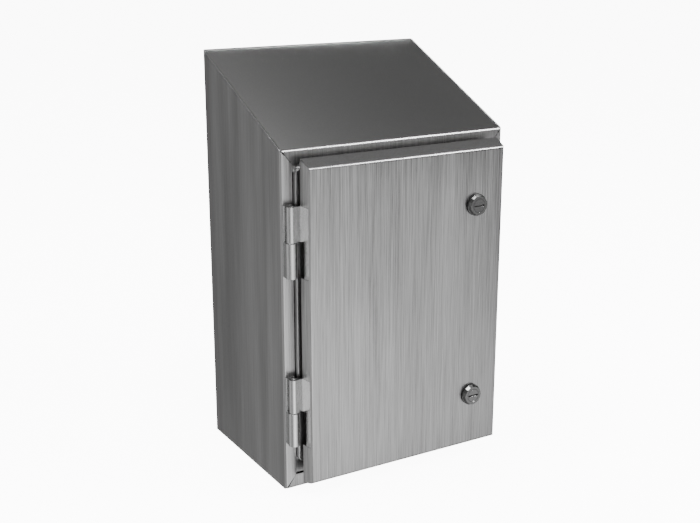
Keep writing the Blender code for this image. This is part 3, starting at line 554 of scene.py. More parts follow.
# %% Gasket
def make_gasket():
    """A foamed bead with a rounded back that the lip sinks into."""
    low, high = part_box("door_gasket")
    half = 0.005
    middle = [value + LEDGE + SHEET / 2 for value in (COLLAR_SIDE, COLLAR_LOW, COLLAR_HIGH)]
    wide, narrow = [m - half for m in middle], [m + half for m in middle]
    bm = stepped_frame([
        frame_loop(*wide, low.y), frame_loop(*wide, high.y),
        frame_loop(*narrow, high.y), frame_loop(*narrow, low.y),
    ], closed=True)
    round_corners(bm, 0.006, 6)
    soften(bm, 0.0022, 4, 60.0, lambda e: min(v.co.y for v in e.verts) > high.y - 0.0001)
    place("door_gasket_bead", bm, RUBBER, "door", "black_rubber", "door_gasket")


make_gasket()

# %% [markdown]
# ## The door
# The door is a shallow pan: one sheet with its four rims folded back. The folds are crisp but not sharp.
# The rims spread a little towards the back to shed water, and at the four corners they only meet, so a
# narrow open seam runs along each corner. The corner edges are split and drawn apart before the sheet
# gets its thickness. The rim is then notched for the hinge leaves and the front is bored for the latches.

# %% Door places
DOOR_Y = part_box("door_pan")[0].y
DOOR_RIM, DOOR_FOLD = 0.018, 0.0026
# how far the rims stand apart at each corner seam, and the bore for a latch
CORNER_SIDE, CORNER_END = 0.0012, 0.0006
LATCH_BORE_R = 0.0093
DOOR_SIDE, DOOR_LOW, DOOR_HIGH = 0.0194, 0.0164, 0.0164
SPREAD_SIDE, SPREAD_LOW, SPREAD_HIGH = 0.002, 0.006, 0.0085
ENDS = ("upper", "lower")
pins = {end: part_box(f"{end}_hinge_pin") for end in ENDS}
leaves = {end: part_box(f"{end}_hinge_body_leaf") for end in ENDS}
drivers = {end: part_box(f"{end}_latch_driver") for end in ENDS}
AXIS_X = (pins["upper"][0].x + pins["upper"][1].x) / 2
AXIS_Y = (pins["upper"][0].y + pins["upper"][1].y) / 2
LATCH_X = (drivers["upper"][0].x + drivers["upper"][1].x) / 2
LATCH_Z = {end: (drivers[end][0].z + drivers[end][1].z) / 2 for end in ENDS}
print(f"hinge axis at {AXIS_X:.4f}, {AXIS_Y:.4f}; latches at x {LATCH_X:.4f}")


# %% Door pan
def make_door_pan():
    left, right = LEFT + DOOR_SIDE, RIGHT - DOOR_SIDE
    bottom, top = DOOR_LOW, FRONT_H - DOOR_HIGH
    bm = block((left, DOOR_Y, bottom), (right, DOOR_Y + DOOR_RIM, top))
    middle = (bottom + top) / 2
    for vert in bm.verts:
        if vert.co.y > DOOR_Y + DOOR_RIM / 2:
            vert.co.x += math.copysign(SPREAD_SIDE, vert.co.x)
            vert.co.z += SPREAD_HIGH if vert.co.z > middle else -SPREAD_LOW
    bmesh.ops.delete(bm, geom=[f for f in bm.faces if f.normal.y > 0.9], context="FACES_ONLY")
    front = [e for e in bm.edges if max(v.co.y for v in e.verts) < DOOR_Y + 0.0001]
    bmesh.ops.bevel(
        bm, geom=front, offset=DOOR_FOLD, segments=6, profile=0.5, affect="EDGES", material=-1,
        clamp_overlap=True,
    )
    seams = []
    for edge in bm.edges:
        way = edge.verts[1].co - edge.verts[0].co
        if edge.is_manifold and way.y ** 2 > (0.6 * DOOR_RIM) ** 2 and edge.calc_face_angle(0.0) > 1.0:
            seams.append(edge)
    rear_ends = [v for e in seams for v in e.verts if v.co.y > DOOR_Y + DOOR_RIM / 2]
    bmesh.ops.split_edges(bm, edges=seams, verts=rear_ends, use_verts=True)
    for vert in bm.verts:
        if vert.co.y > DOOR_Y + DOOR_RIM / 2:
            rim = vert.link_faces[0].normal
            if abs(rim.x) > abs(rim.z):
                vert.co.z -= math.copysign(CORNER_SIDE, vert.co.z - middle)
            else:
                vert.co.x -= math.copysign(CORNER_END, vert.co.x)
    bm = sheet_metal(bm, Vector((0, -1, 0)))
    for end in ENDS:
        low, high = leaves[end]
        near, far = (left - 0.01, DOOR_Y + SHEET + SEAM, low.z - SEAM), (left + 0.006, FRONT, high.z + SEAM)
        bm = carve(bm, block(near, far))
        bm = drill(bm, LATCH_BORE_R, 0.01, (LATCH_X, DOOR_Y, LATCH_Z[end]), "Y")
    place("door_pan_sheet", bm, STAINLESS, "door", "brushed_stainless", "door_pan")


make_door_pan()

# %% [markdown]
# ## The hinges
# Each hinge is two pressed leaves rolled round a pin. The body leaf lies on the flange over the whole
# height and carries the lower knuckle. The door leaf runs along the rim and carries the upper knuckle.
# In plan each is an arc with straight stretches, so an outline pushed up does it. The half that belongs
# to the other knuckle is cut away, the pin's bore is drilled, and the edges get a small round that shines.

# %% Hinge sizes
BARREL_R, DOOR_ROLL_R, PIN_R, LEAF = 0.0065, 0.0052, 0.0035, 0.003
BODY_LEAF_HALF, GRIP = 0.0055, 0.009
# the round that polishing leaves, and the fold above which an edge stays sharp to the eye
HINGE_EDGE, ROLL_ANGLE = 0.0004, 10.0
KNUCKLE_GAP = 0.0003


# %% Hinge leaves
def rim_line(along, inward=0.0):
    """A point on the left rim: along from the front fold to its back edge, then into the door."""
    way = Vector((-SPREAD_SIDE, DOOR_RIM)).normalized()
    point = Vector((LEFT + DOOR_SIDE, DOOR_Y)) + way * along + Vector((way.y, -way.x)) * inward
    return tuple(point)


def bored(bm, z):
    """Drill the pin's bore up and down through a leaf."""
    return drill(bm, PIN_R + SEAM, 0.1, (AXIS_X, AXIS_Y, z), "Z", 32)


def make_body_leaf(end):
    low, high = leaves[end]
    z = (low.z + high.z) / 2
    half, rise = BODY_LEAF_HALF, BARREL_R * 0.25
    back, face = FRONT - SEAM, FRONT - SEAM - LEAF
    near, far = math.degrees(math.acos(0.25)), math.degrees(math.acos(-half / BARREL_R))
    plan = [(AXIS_X - half, back), (AXIS_X + half, back), (AXIS_X + half, face), (AXIS_X + rise, face)]
    plan += arc((AXIS_X, AXIS_Y), BARREL_R, near, far - 360, 40)
    bm = plate(plan, "Z", low.z, high.z)
    low_corner = (AXIS_X - 0.05, FRONT - 0.05, z - KNUCKLE_GAP / 2)
    bm = carve(bm, block(low_corner, (AXIS_X + 0.05, face, high.z + 0.01)))
    bm = soften(bored(bm, z), HINGE_EDGE, 2, 50.0)
    place(f"{end}_hinge_body_knuckle", bm, POLISHED, "enclosure", "brushed_stainless",
          f"{end}_hinge_body_leaf", angle=ROLL_ANGLE)


def make_door_leaf(end):
    low, high = leaves[end]
    z = (low.z + high.z) / 2
    start = SHEET + 2 * SEAM
    rim_end = Vector((SPREAD_SIDE, DOOR_RIM)).length - SEAM
    plan = arc((AXIS_X, AXIS_Y), DOOR_ROLL_R, -10, 270, 40)
    plan += [rim_line(rim_end), rim_line(start), rim_line(start, LEAF), rim_line(rim_end + LEAF, LEAF)]
    bm = plate(plan, "Z", low.z, high.z)
    grip, far = start + GRIP, 0.04
    away = [rim_line(grip, -far), rim_line(grip, far), rim_line(far, far), rim_line(far, -far)]
    bm = carve(bm, plate(away, "Z", low.z - 0.01, z + KNUCKLE_GAP / 2))
    bm = soften(bored(bm, z), HINGE_EDGE, 2, 50.0)
    place(f"{end}_hinge_door_knuckle", bm, POLISHED, "door", "polished_stainless",
          f"{end}_hinge_door_leaf", angle=ROLL_ANGLE)


def make_pin(end):
    low, high = pins[end]
    middle, half = (low.z + high.z) / 2, (high.z - low.z) / 2
    head = dome(PIN_R, half - 0.001, 0.001)
    profile = head + [(radius, -height) for radius, height in reversed(head)]
    bm = turned(profile, (AXIS_X, AXIS_Y, middle), "Z", 32)
    place(f"{end}_hinge_pin_bar", bm, POLISHED, "enclosure", "polished_stainless", f"{end}_hinge_pin")


for end in ENDS:
    make_body_leaf(end)
    make_door_leaf(end)
    make_pin(end)

# %% [markdown]
# ## The latches
# A quarter-turn latch has a round head on a rubber washer, clamped by a hexagon nut inside. A slotted
# driver turns in it and swings a cam behind the collar's ledge. The head's slope is cut in sixteen flats,
# so it flashes as it turns: the head is spun in only sixteen steps, and its flats stay sharp. The slot is
# a Boolean cut, because its floor and ends have to be crisp.

# %% Latch sizes
LATCH_FACE_R, LATCH_BASE_R, THREAD_R = 0.0117, 0.0134, 0.009
DRIVER_R, SHAFT_R, SHAFT_END_R = 0.008, 0.005, 0.004
SLOT_L, SLOT_W, SLOT_DEPTH = 0.0145, 0.002, 0.002
CAM_W = 0.016


# %% Nuts and threads
def threaded(radius, low, high, pitch=0.001, depth=0.0005):
    """Radius and height pairs down a stud's thread, drawn as rings a pitch apart."""
    count = max(2, int((high - low) / pitch))
    points = [(0.0, high), (radius - depth, high)]
    for i in range(count):
        crest = high - (i + 0.5) * (high - low) / count
        points += [(radius, crest), (radius - depth, crest - 0.5 * (high - low) / count)]
    return points + [(radius - depth, low), (0.0, low)]


def hex_nut(name, node, axis, bore, body):
    """A hexagon nut with both ends chamfered, sized by its node's box."""
    low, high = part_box(node)
    centre = (low + high) / 2
    size = high - low
    thick = size.y if axis == "Y" else size.z
    corner = max(size.x, size.z if axis == "Y" else size.y) / 2
    bm = bmesh.new()
    spot = Matrix.Translation(centre) @ TURN[axis]
    bmesh.ops.create_cone(
        bm, cap_ends=True, segments=6, radius1=corner, radius2=corner, depth=thick, matrix=spot
    )
    half, slope = thick / 2, corner * 0.12
    cone = [(0, half), (corner - slope, half), (corner, half - slope / 2), (corner, slope / 2 - half)]
    bm = carve(bm, turned(cone + [(corner - slope, -half), (0, -half)], centre, axis), "INTERSECT")
    bm = drill(bm, bore, thick, centre, axis)
    place(name, bm, ZINC, body, "zinc_plated_steel", node)


def cross_recess(bm, x, z, low, high, long, narrow):
    """Cut a cross into a screw's head, from low to high along Y."""
    for wide, tall in ((long, narrow), (narrow, long)):
        bm = carve(bm, block((x - wide, low, z - tall), (x + wide, high, z + tall)))
    return bm


# %% Latch pieces
def make_latch(end):
    body = f"{end}_latch"
    centre = (LATCH_X, DOOR_Y, LATCH_Z[end])
    head_low, head_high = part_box(f"{end}_latch_housing")
    face = DOOR_Y - head_low.y
    rear = DOOR_Y - head_high.y
    foot = DOOR_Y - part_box(f"{end}_latch_seal")[0].y + SEAM
    floor = face - SLOT_DEPTH - 0.0015
    well = DRIVER_R + SEAM
    shape = [
        (LATCH_FACE_R, face), (LATCH_BASE_R, foot + 0.002), (LATCH_BASE_R, foot), (THREAD_R, foot),
        (THREAD_R, rear), (SHAFT_R + SEAM, rear), (SHAFT_R + SEAM, floor), (well, floor), (well, face),
    ]
    bm = soften(turned(shape, centre, "Y", 16, closed=True), 0.0002, 1, 40.0)
    # the head, and the driver below, take the steel whose colour is painted dark for the dark reflection
    # their faces show
    place(f"{end}_latch_head", bm, TUMBLED_PAINTED_DARK, "door", "polished_stainless", f"{end}_latch_housing", angle=18.0)
    bore = THREAD_R + SEAM
    ring = [(LATCH_BASE_R, foot - SEAM), (LATCH_BASE_R, SEAM), (bore, SEAM), (bore, foot - SEAM)]
    bm = soften(turned(ring, centre, "Y", closed=True), 0.0003, 2, 40.0)
    place(f"{end}_latch_washer", bm, RUBBER, "door", "black_rubber", f"{end}_latch_seal")
    low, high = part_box(f"{end}_latch_cam")
    shaft_end, shoulder = DOOR_Y - high.y, DOOR_Y - low.y + SEAM
    tap, tap_r = 0.009, 0.0025
    drive = [
        (0.0, face), (DRIVER_R, face), (DRIVER_R, floor + SEAM), (SHAFT_R, floor + SEAM), (SHAFT_R, shoulder),
        (SHAFT_END_R, shoulder), (SHAFT_END_R, shaft_end), (tap_r, shaft_end), (tap_r, shaft_end + tap),
        (0.0, shaft_end + tap),
    ]
    slot_y = DOOR_Y - face
    slot = block(
        (LATCH_X - SLOT_L / 2, slot_y - 0.001, centre[2] - SLOT_W / 2),
        (LATCH_X + SLOT_L / 2, slot_y + SLOT_DEPTH, centre[2] + SLOT_W / 2),
    )
    bm = soften(carve(turned(drive, centre, "Y"), slot), 0.0002, 1, 50.0)
    place(f"{end}_latch_slotted_driver", bm, TUMBLED_PAINTED_DARK, body, "polished_stainless", f"{end}_latch_driver")
    make_cam(end, centre, low, high)
    hex_nut(f"{end}_latch_hexagon_nut", f"{end}_latch_nut", "Y", bore, "door")


def make_cam(end, centre, low, high):
    """A stamped bar with a round foot and clipped corners, and the screw that holds it."""
    x, _, z = centre
    half, cut, tip = CAM_W / 2, 0.003, high.z
    outline = arc((x, z), half, 180, 360, 25)
    outline += [(x + half, tip - cut), (x + half - cut, tip), (x - half + cut, tip), (x - half, tip - cut)]
    bm = drill(plate(outline, "Y", low.y, high.y), SHAFT_END_R + SEAM, 0.02, (x, low.y, z), "Y")
    bm = soften(bm, 0.0004, 2, 50.0)
    place(f"{end}_latch_stamped_cam", bm, ZINC, f"{end}_latch", "zinc_plated_steel", f"{end}_latch_cam")
    low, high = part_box(f"{end}_latch_cam_screw")
    radius, head, shank = (high.x - low.x) / 2, 0.003, 0.0022
    tip, seat = low.y - high.y + head, (x, high.y - head, z)
    screw = turned([
        (0, head), (radius * 0.8, head), (radius, head * 0.7), (radius, 0),
        (shank, 0), (shank, tip), (0, tip),
    ], seat, "Y")
    # this screw is driven from behind, so its head is turned to face the back
    bmesh.ops.rotate(screw, cent=seat, matrix=Matrix.Rotation(math.pi, 3, "Z"), verts=screw.verts)
    screw = cross_recess(screw, x, z, high.y - 0.0012, high.y + 0.001, 0.004, 0.0006)
    place(f"{end}_latch_cross_screw", screw, ZINC, f"{end}_latch", "zinc_plated_steel",
          f"{end}_latch_cam_screw")


for end in ENDS:
    make_latch(end)

# %% [markdown]
# ## The panel and its fixings
# The switch stands on a white enamelled steel plate that rides on four welded studs. The plate is a block
# with rounded corners and edges, drilled where studs and screws pass. Studs are spun with rings for their
# threads. A true helix would not show at this size.

# %% Panel
CORNERS = [f"{level}_{side}" for level in ENDS for side in ("left", "right")]
STUD_R, STUD_NUT_BORE_R, STUD_HOLE_R = 0.003, 0.0031, 0.0033
STUD_COLLAR, STUD_COLLAR_R = 0.0114, 0.006
SCREW_HOLE_R = 0.0028


def make_panel():
    low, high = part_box("equipment_panel")

    def upright_corner(edge):
        way = edge.verts[1].co - edge.verts[0].co
        return abs(way.y) > 0.9 * way.length

    bm = soften(block(low, high), 0.006, 6, 60.0, upright_corner)
    spots = [(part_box(f"panel_stud_{c}"), STUD_HOLE_R) for c in CORNERS]
    spots += [(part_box(f"switch_mounting_screw_{e}"), SCREW_HOLE_R) for e in ("low", "high")]
    for (a, b), radius in spots:
        middle = ((a.x + b.x) / 2, low.y, (a.z + b.z) / 2)
        bm = drill(bm, radius, 0.02, middle, "Y", 24)
    bm = soften(bm, 0.0005, 2, 60.0)
    place("white_equipment_panel", bm, ENAMEL, "enclosure", "white_enamel", "equipment_panel")


def make_panel_stud(corner):
    low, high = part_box(f"panel_stud_{corner}")
    centre = ((low.x + high.x) / 2, high.y, (low.z + high.z) / 2)
    shank = threaded(STUD_R, STUD_COLLAR, high.y - low.y)[:-1]
    collar = [(STUD_COLLAR_R, STUD_COLLAR), (STUD_COLLAR_R, 0), (0, 0)]
    bm = turned(shank + collar, centre, "Y", 24)
    place(f"panel_stud_bar_{corner}", bm, STUD, "enclosure", "stud_stainless", f"panel_stud_{corner}")


make_panel()
for corner in CORNERS:
    make_panel_stud(corner)
    hex_nut(f"panel_hexagon_nut_{corner}", f"panel_nut_{corner}", "Y", STUD_NUT_BORE_R, "enclosure")


# %% Earth studs
def make_earth_stud(node, axis, body):
    low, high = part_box(node)
    root, length = (low + high) / 2, high.y - low.y if axis == "Y" else high.z - low.z
    if axis == "Y":
        root.y = high.y
    else:
        root.z = low.z
    bm = turned(threaded(STUD_R, 0.0, length), root, axis, 24)
    place(f"{node}_bar", bm, STUD, body, "stud_stainless", node)
    nut = node.replace("stud", "nut")
    hex_nut(f"{nut}_hexagon", nut, axis, STUD_NUT_BORE_R, body)


make_earth_stud("body_earth_stud", "Z", "enclosure")
make_earth_stud("door_earth_stud", "Y", "door")

# %% [markdown]
# ## The fused switch
# A black thermoset base carries three poles between four barriers. A grey cover hides the moving contacts,
# and a red handle turns them. Mouldings have even rounds on every edge, because a sharp corner would not
# fill, so each is a cut shape with one bevel all over.


# %% Switch base
SLAB, BARRIER, BARRIER_INSET = 0.028, 0.003, 0.002
SHAFT_HOLE_R = 0.0063


def make_switch_base():
    low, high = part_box("switch_base")
    face, span = high.y - SLAB, high.x - BARRIER_INSET
    outline = [(low.x, high.y), (low.x, face)]
    for x in (-span, -span / 3, span / 3, span):
        a, b = x - BARRIER / 2, x + BARRIER / 2
        outline += [(a, face), (a, low.y), (b, low.y), (b, face)]
    outline += [(high.x, face), (high.x, high.y)]
    bm = plate(outline, "Z", low.z, high.z)
    for end in ("low", "high"):
        a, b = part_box(f"switch_mounting_screw_{end}")
        middle = (0.0, face, (a.z + b.z) / 2)
        bm = drill(bm, SCREW_HOLE_R, 0.06, middle, "Y", 24)
    # shallow moulded lines across the slab mark each pole's ends
    for z in (low.z + 0.040, high.z - 0.049):
        for x in (-2 * span / 3, 0.0, 2 * span / 3):
            bm = carve(bm, block((x - 0.015, face - 0.001, z), (x + 0.015, face + 0.0012, z + 0.0015)))
    bm = soften(bm, 0.0005, 2, 50.0)
    place("switch_base_moulding", bm, THERMOSET, "enclosure", "black_thermoset", "switch_base")


make_switch_base()


# %% Switch cover
def make_switch_cover():
    low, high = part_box("switch_cover")
    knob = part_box("switch_shaft")
    z = (knob[0].z + knob[1].z) / 2
    bm = drill(soften(block(low, high), 0.003, 4, 60.0), SHAFT_HOLE_R, 0.05, (0, low.y, z), "Y", 32)
    # vent slots in the two narrow bands above and below the handle
    for level in (low.z + 0.0045, high.z - 0.0045):
        for i in range(9):
            x = (i - 4) * 0.011
            vent_low = (x - 0.0035, low.y - 0.001, level - 0.001)
            bm = carve(bm, block(vent_low, (x + 0.0035, low.y + 0.003, level + 0.001)))
    place("switch_cover_moulding", bm, NYLON, "enclosure", "grey_nylon", "switch_cover")
    # the marks are an upright bar for ON above the handle and a ring for OFF beside it
    bar = block((-0.0008, low.y - 0.0002, high.z - 0.0100), (0.0008, low.y + 0.001, high.z - 0.0065))
    place("on_mark", bar, WHITE_INK, "enclosure", "white_enamel")
    ring = [(0.0026, 0.0002), (0.0026, -0.001), (0.0018, -0.001), (0.0018, 0.0002)]
    ring = turned(ring, (0.034, low.y, z), "Y", 32, closed=True)
    place("off_mark", ring, WHITE_INK, "enclosure", "white_enamel")


make_switch_cover()


# %% Handle and shaft
def make_handle():
    low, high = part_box("switch_handle")
    z = (low.z + high.z) / 2
    disc, grip_high = 0.0067, 0.013
    back, front = high.y, high.y - disc
    radius = (high.z - low.z) / 2
    rim = 0.0012
    profile = [(0, disc), (radius - rim, disc), (radius, disc - rim), (radius, 0), (0, 0)]
    bm = turned(profile, (0, back, z), "Y", 64)
    # finger notches round the rim
    for i in range(24):
        t = math.tau * (i + 0.5) / 24
        spot = (math.cos(t) * (radius + 0.0012), back, z + math.sin(t) * (radius + 0.0012))
        bm = drill(bm, 0.0018, 0.02, spot, "Y", 16)
    a, b = (high.x - low.x) / 2, 0.0065
    grip = [(-a, z - b), (a * 0.7, z - b), (a, z - b * 0.5), (a, z + b * 0.5), (a * 0.7, z + b), (-a, z + b)]
    bar = soften(plate(grip, "Y", front - grip_high, front + disc / 2), 0.0022, 4, 30.0)
    bm = carve(bm, bar, "UNION")
    # the shaft's bore is blind: it ends inside the grip
    bore = [(0, 0.0123), (SHAFT_HOLE_R, 0.0123), (SHAFT_HOLE_R, -0.01), (0, -0.01)]
    bm = carve(bm, turned(bore, (0, back, z), "Y", 32))
    place("red_handle_moulding", bm, RED, "switch_rotor", "red_nylon", "switch_handle")
    line = block((a * 0.35, low.y - 0.0001, z - 0.0007), (a * 0.85, low.y + 0.001, z + 0.0007))
    place("handle_pointer_line", line, WHITE_INK, "switch_rotor", "white_enamel")
    low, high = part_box("switch_shaft")
    half = (high.x - low.x) / 2
    length = high.y - low.y
    rod = [(0, length), (half - 0.0005, length), (half, length - 0.0005), (half, 0), (0, 0)]
    rod = turned(rod, (0, high.y, z), "Y", 32)
    place("switch_shaft_bar", rod, ZINC, "switch_rotor", "zinc_plated_steel", "switch_shaft")


make_handle()


# %% [markdown]
# Each pole is a lug, a spring clip, a cartridge fuse, a clip and a lug. The clip is a strip bent to hug
# the fuse's cap, with lips that lead the fuse in, so it is drawn as the line of the bend and thickened.
# The fuse has two plated caps on a fibre tube, and the caps are their own piece because they are metal.


# %% Clips
CLIP_TALL, CLIP_THICK, CLIP_LIP = 0.013, 0.0012, 0.0015
STRAP_WIDE, STRAP_THICK = 0.014, 0.0015


def make_clip(name, node, x):
    low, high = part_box(node)
    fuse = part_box(node.split("_")[0] + "_fuse")
    centre = (x, (fuse[0].y + fuse[1].y) / 2)
    radius = (fuse[1].x - fuse[0].x) / 2 + SEAM
    clip_low = fuse[1].z - CLIP_TALL if "_line_" in node else fuse[0].z
    left_jaw = arc(centre, radius, 238, 118, 17)
    right_jaw = [(2 * x - a, b) for a, b in reversed(left_jaw)]
    start = (left_jaw[0][0] - CLIP_LIP, left_jaw[0][1] - CLIP_LIP)
    path = [start] + left_jaw + right_jaw + [(2 * x - start[0], start[1])]
    bm = bmesh.new()
    _, lines = open_line(bm, [(a, b, clip_low) for a, b in path])
    pushed = points_in(bmesh.ops.extrude_edge_only(bm, edges=lines)["geom"])
    bmesh.ops.translate(bm, vec=(0, 0, CLIP_TALL), verts=pushed)
    bmesh.ops.recalc_face_normals(bm, faces=bm.faces)
    jaw = bm.faces[:][0]
    if jaw.normal.dot(Vector((*centre, 0)) - Vector((*jaw.calc_center_median().xy, 0))) < 0:
        bmesh.ops.reverse_faces(bm, faces=bm.faces)
    bm = settle(bm, "SOLIDIFY", thickness=CLIP_THICK, offset=-1.0, use_even_offset=True)
    half = STRAP_WIDE / 2
    strap = block((x - half, high.y - STRAP_THICK, low.z), (x + half, high.y, high.z))
    bm = carve(bm, soften(strap, DEBURR, 1, 50.0), "UNION")
    place(name, bm, TINNED, "enclosure", "tinned_copper", node)


# %% Lugs
WIRE_R, CLAMP_R, SOCKET_R = 0.0045, 0.0033, 0.0019


def make_lug(name, node, x):
    low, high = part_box(node)
    middle = (low.z + high.z) / 2
    wire_y = high.y - (high.y - low.y) * 0.4
    bm = soften(block(low, high), 0.0012, 3, 60.0)
    bm = drill(bm, WIRE_R, 0.03, (x, wire_y, middle), "Z", 32)
    bm = drill(bm, CLAMP_R + 0.0002, 0.005, (x, low.y, middle), "Y", 24)
    place(name, bm, ALUMINIUM, "enclosure", "aluminium", node)
    # a socket set screw fills the clamp bore
    socket = bmesh.new()
    spot = Matrix.Translation((x, low.y + 0.0005, middle)) @ TURN["Y"]
    bmesh.ops.create_cone(
        socket, cap_ends=True, segments=6, radius1=SOCKET_R, radius2=SOCKET_R, depth=0.005, matrix=spot
    )
    screw = [(0, 0), (CLAMP_R - 0.0004, 0), (CLAMP_R, -0.0004), (CLAMP_R, -0.0048), (0, -0.0048)]
    screw = carve(turned(screw, (x, low.y + 0.0002, middle), "Y", 24), socket)
    place(name + "_set_screw", screw, ZINC, "enclosure", "zinc_plated_steel")


# %% Fuses
CAP_TALL, CAP_THICK, CAP_EDGE = 0.014, 0.0004, 0.0008


def make_fuse(name, node, x):
    low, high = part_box(node)
    centre = (x, (low.y + high.y) / 2, (low.z + high.z) / 2)
    radius, half = (high.x - low.x) / 2, (high.z - low.z) / 2
    tube, end, mouth = radius - CAP_THICK, half - CAP_TALL - 0.0002, half - CAP_TALL
    body = turned([(0, end), (tube, end), (tube, -end), (0, -end)], centre, "Z")
    place(name + "_tube", body, FIBRE, "enclosure", "fuse_tube", node)
    corner = dome(CAP_EDGE, half - CAP_EDGE, CAP_EDGE, inner=radius - CAP_EDGE)
    crimp = [(radius, mouth + 0.0030), (radius - 0.0003, mouth + 0.0025), (radius, mouth + 0.0020)]
    profile = [(0, half)] + corner + crimp + [(radius, mouth), (0, mouth)]
    for side, way in (("upper", 1), ("lower", -1)):
        cap = turned([(r, way * h) for r, h in profile], centre, "Z")
        place(f"{name}_{side}_cap", cap, NICKEL, "enclosure", "tinned_copper")


# %% Poles and mounting screws
for pole in ("left", "middle", "right"):
    low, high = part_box(f"{pole}_fuse")
    pole_x = (low.x + high.x) / 2
    make_fuse(f"{pole}_cartridge", f"{pole}_fuse", pole_x)
    for way in ("line", "load"):
        make_clip(f"{pole}_{way}_spring_clip", f"{pole}_{way}_fuse_clip", pole_x)
        make_lug(f"{pole}_{way}_box_lug", f"{pole}_{way}_lug", pole_x)


def make_mounting_screw(end):
    low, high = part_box(f"switch_mounting_screw_{end}")
    head, shank, radius = 0.003, 0.0025, (high.x - low.x) / 2
    x, y, z = (low.x + high.x) / 2, low.y + head, (low.z + high.z) / 2
    tip = y - high.y
    profile = dome(radius, head * 0.45, head * 0.55) + [(radius, 0), (shank, 0), (shank, tip), (0, tip)]
    bm = turned(profile, (x, y, z), "Y", 32)
    bm = cross_recess(bm, x, z, low.y - 0.001, low.y + 0.0018, 0.0028, 0.0005)
    place(f"switch_cross_screw_{end}", bm, ZINC, "enclosure", "zinc_plated_steel",
          f"switch_mounting_screw_{end}")


for end in ("low", "high"):
    make_mounting_screw(end)

# %% [markdown]
# ## Floor, light and camera
# Brushed steel shows what stands round it more than what shines on it, so the surroundings do most of the
# work: pale in front, dimmer behind and overhead. The floor and a wide dome are white paper that only the
# camera sees. Two soft boxes, one at the front right and one at the upper left, add the bright lines along
# the bends. Two more light what isn't metal and leave no reflection.

# %% Floor and backdrop
floor_bm = bmesh.new()
bmesh.ops.create_grid(floor_bm, x_segments=1, y_segments=1, size=15.0)
bmesh.ops.translate(floor_bm, vec=(0, 0, -0.0005), verts=floor_bm.verts)
dome_bm = bmesh.new()
bmesh.ops.create_uvsphere(dome_bm, u_segments=48, v_segments=24, radius=14.5)
floor, backdrop = make_object("studio_floor", floor_bm), make_object("studio_dome", dome_bm)
white = (1.0, 1.0, 1.0, 1.0)
paper = start_finish(
    "white_paper", roughness=0.9, base_color=linear("F4F4F4"), emission_color=white, emission_strength=10.0
)[0]
for sheet in (floor, backdrop):
    sheet.data.materials.append(paper)
    sheet.visible_glossy = sheet.visible_diffuse = sheet.visible_shadow = False

# %% Surroundings
world = bpy.data.worlds.new("studio_room")
bpy.context.scene.world = world
world.use_nodes = True
room = world.node_tree
direction = add_node(room, "ShaderNodeTexCoord", out="Generated")
split = add_node(room, "ShaderNodeSeparateXYZ", links={0: direction}).node.outputs
bearing = add_node(room, "ShaderNodeMath", {"operation": "ARCTAN2"}, {0: split[1], 1: split[0]})
turn = add_node(room, "ShaderNodeMapRange", {1: -math.pi, 2: math.pi}, {0: bearing})
around = add_node(room, "ShaderNodeValToRGB", links={0: turn})
# brightness by bearing, in degrees anticlockwise from the box's right-hand side
BEARINGS = [
    (-180, 0.45), (-150, 0.35), (-128, 0.7), (-106, 2.1), (-86, 2.1), (-66, 1.15), (-50, 0.78), (-10, 0.35),
    (90, 0.16), (115, 0.22), (128, 0.34), (140, 0.6), (160, 0.7),
]
# and by height, from straight down to straight up: dark close by the foot of the box, brightest further out
HEIGHTS = [(-1.0, 0.1), (-0.75, 0.25), (-0.42, 1.5), (-0.06, 0.25), (1.0, 0.2)]


def fill_ramp(node, stops, low, high):
    points = node.color_ramp.elements
    for i, (where, brightness) in enumerate(stops):
        share = (where - low) / (high - low)
        stop = points[i] if i < 2 else points.new(share)
        stop.position = share
        stop.color = (brightness, brightness, brightness, 1.0)


fill_ramp(around.node, BEARINGS, -180, 180)
lift = add_node(room, "ShaderNodeMapRange", {1: -1.0, 2: 1.0}, {0: split[2]})
fall = add_node(room, "ShaderNodeValToRGB", links={0: lift})
fill_ramp(fall.node, HEIGHTS, -1.0, 1.0)
# the change by height counts in front and fades out behind the box
forward = {"operation": "DOT_PRODUCT", 1: (0.50, -0.86, 0.0)}
ahead = add_node(room, "ShaderNodeVectorMath", forward, {0: direction}, "Value")
in_front = add_node(room, "ShaderNodeMapRange", {1: -0.2, 2: 0.5}, {0: ahead})
scale = add_node(room, "ShaderNodeMix", {2: 1.0}, {0: in_front, 3: fall})
sides = add_node(room, "ShaderNodeVectorMath", {"operation": "SCALE"}, {0: around, "Scale": scale})
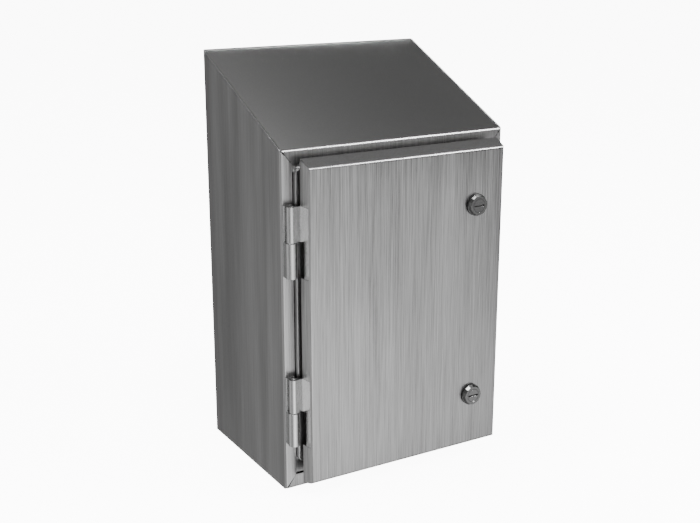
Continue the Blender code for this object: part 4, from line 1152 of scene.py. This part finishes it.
# overhead the room is even, and darker towards the right
overhead = add_node(room, "ShaderNodeMapRange", {1: 0.1, 2: 0.6}, {0: split[2]})
ceiling = add_node(room, "ShaderNodeMapRange", {1: 0.0, 2: 0.75, 3: 0.27, 4: 0.04}, {0: split[0]})
blend = {0: overhead, 6: sides, 7: ceiling}
whole = add_node(room, "ShaderNodeMix", {"data_type": "RGBA"}, blend, 2)
room_light = room.nodes["Background"]
room.links.new(whole, room_light.inputs[0])
room_light.inputs[1].default_value = 1.0
print("room brightness stops:", len(BEARINGS) + len(HEIGHTS))


# %% Soft boxes
def looking_at(aim, away, distance):
    """The place and turn of a lamp or camera that stands away from a point and faces it."""
    facing_back = away.to_track_quat("Z", "Y").to_matrix().to_4x4()
    return Matrix.Translation(aim + away * distance) @ facing_back


def soft_box(name, direction, distance, width, height, power):
    """A rectangular area light that hangs in a direction from the box and faces its middle."""
    lamp = bpy.data.lights.new(name, "AREA")
    lamp.shape = "RECTANGLE"
    lamp.size, lamp.size_y, lamp.energy = width, height, power
    holder = bpy.data.objects.new(name, lamp)
    holder.matrix_world = looking_at(Vector((0, 0, 0.22)), Vector(direction).normalized(), distance)
    bpy.context.scene.collection.objects.link(holder)
    return holder


soft_box("front_right_box", (0.50, -0.50, 0.72), 2.2, 0.9, 0.5, 40.0)
soft_box("upper_left_box", (-0.35, 0.0, 0.935), 2.4, 0.9, 0.9, 40.0)
# these two only light what isn't metal, so they don't show as reflections
soft_box("front_fill", (0.12, -1.0, 0.30), 2.6, 1.6, 1.6, 70.0).visible_glossy = False
soft_box("ceiling_box", (0.0, 0.3, 1.0), 3.2, 3.0, 3.0, 90.0).visible_glossy = False

# %% Camera
AZIMUTH, ELEVATION, DISTANCE = math.radians(-30.48), math.radians(16.21), 1.3136
TARGET = Vector((-0.0636, -0.1019, 0.2710))
away = Vector((
    math.sin(AZIMUTH) * math.cos(ELEVATION), -math.cos(AZIMUTH) * math.cos(ELEVATION), math.sin(ELEVATION),
))
view = bpy.data.cameras.new("view_camera")
view.lens, view.sensor_width = 57.97, 36.0
camera = bpy.data.objects.new("view_camera", view)
camera.matrix_world = looking_at(TARGET, away, DISTANCE)
bpy.context.scene.collection.objects.link(camera)
bpy.context.scene.camera = camera
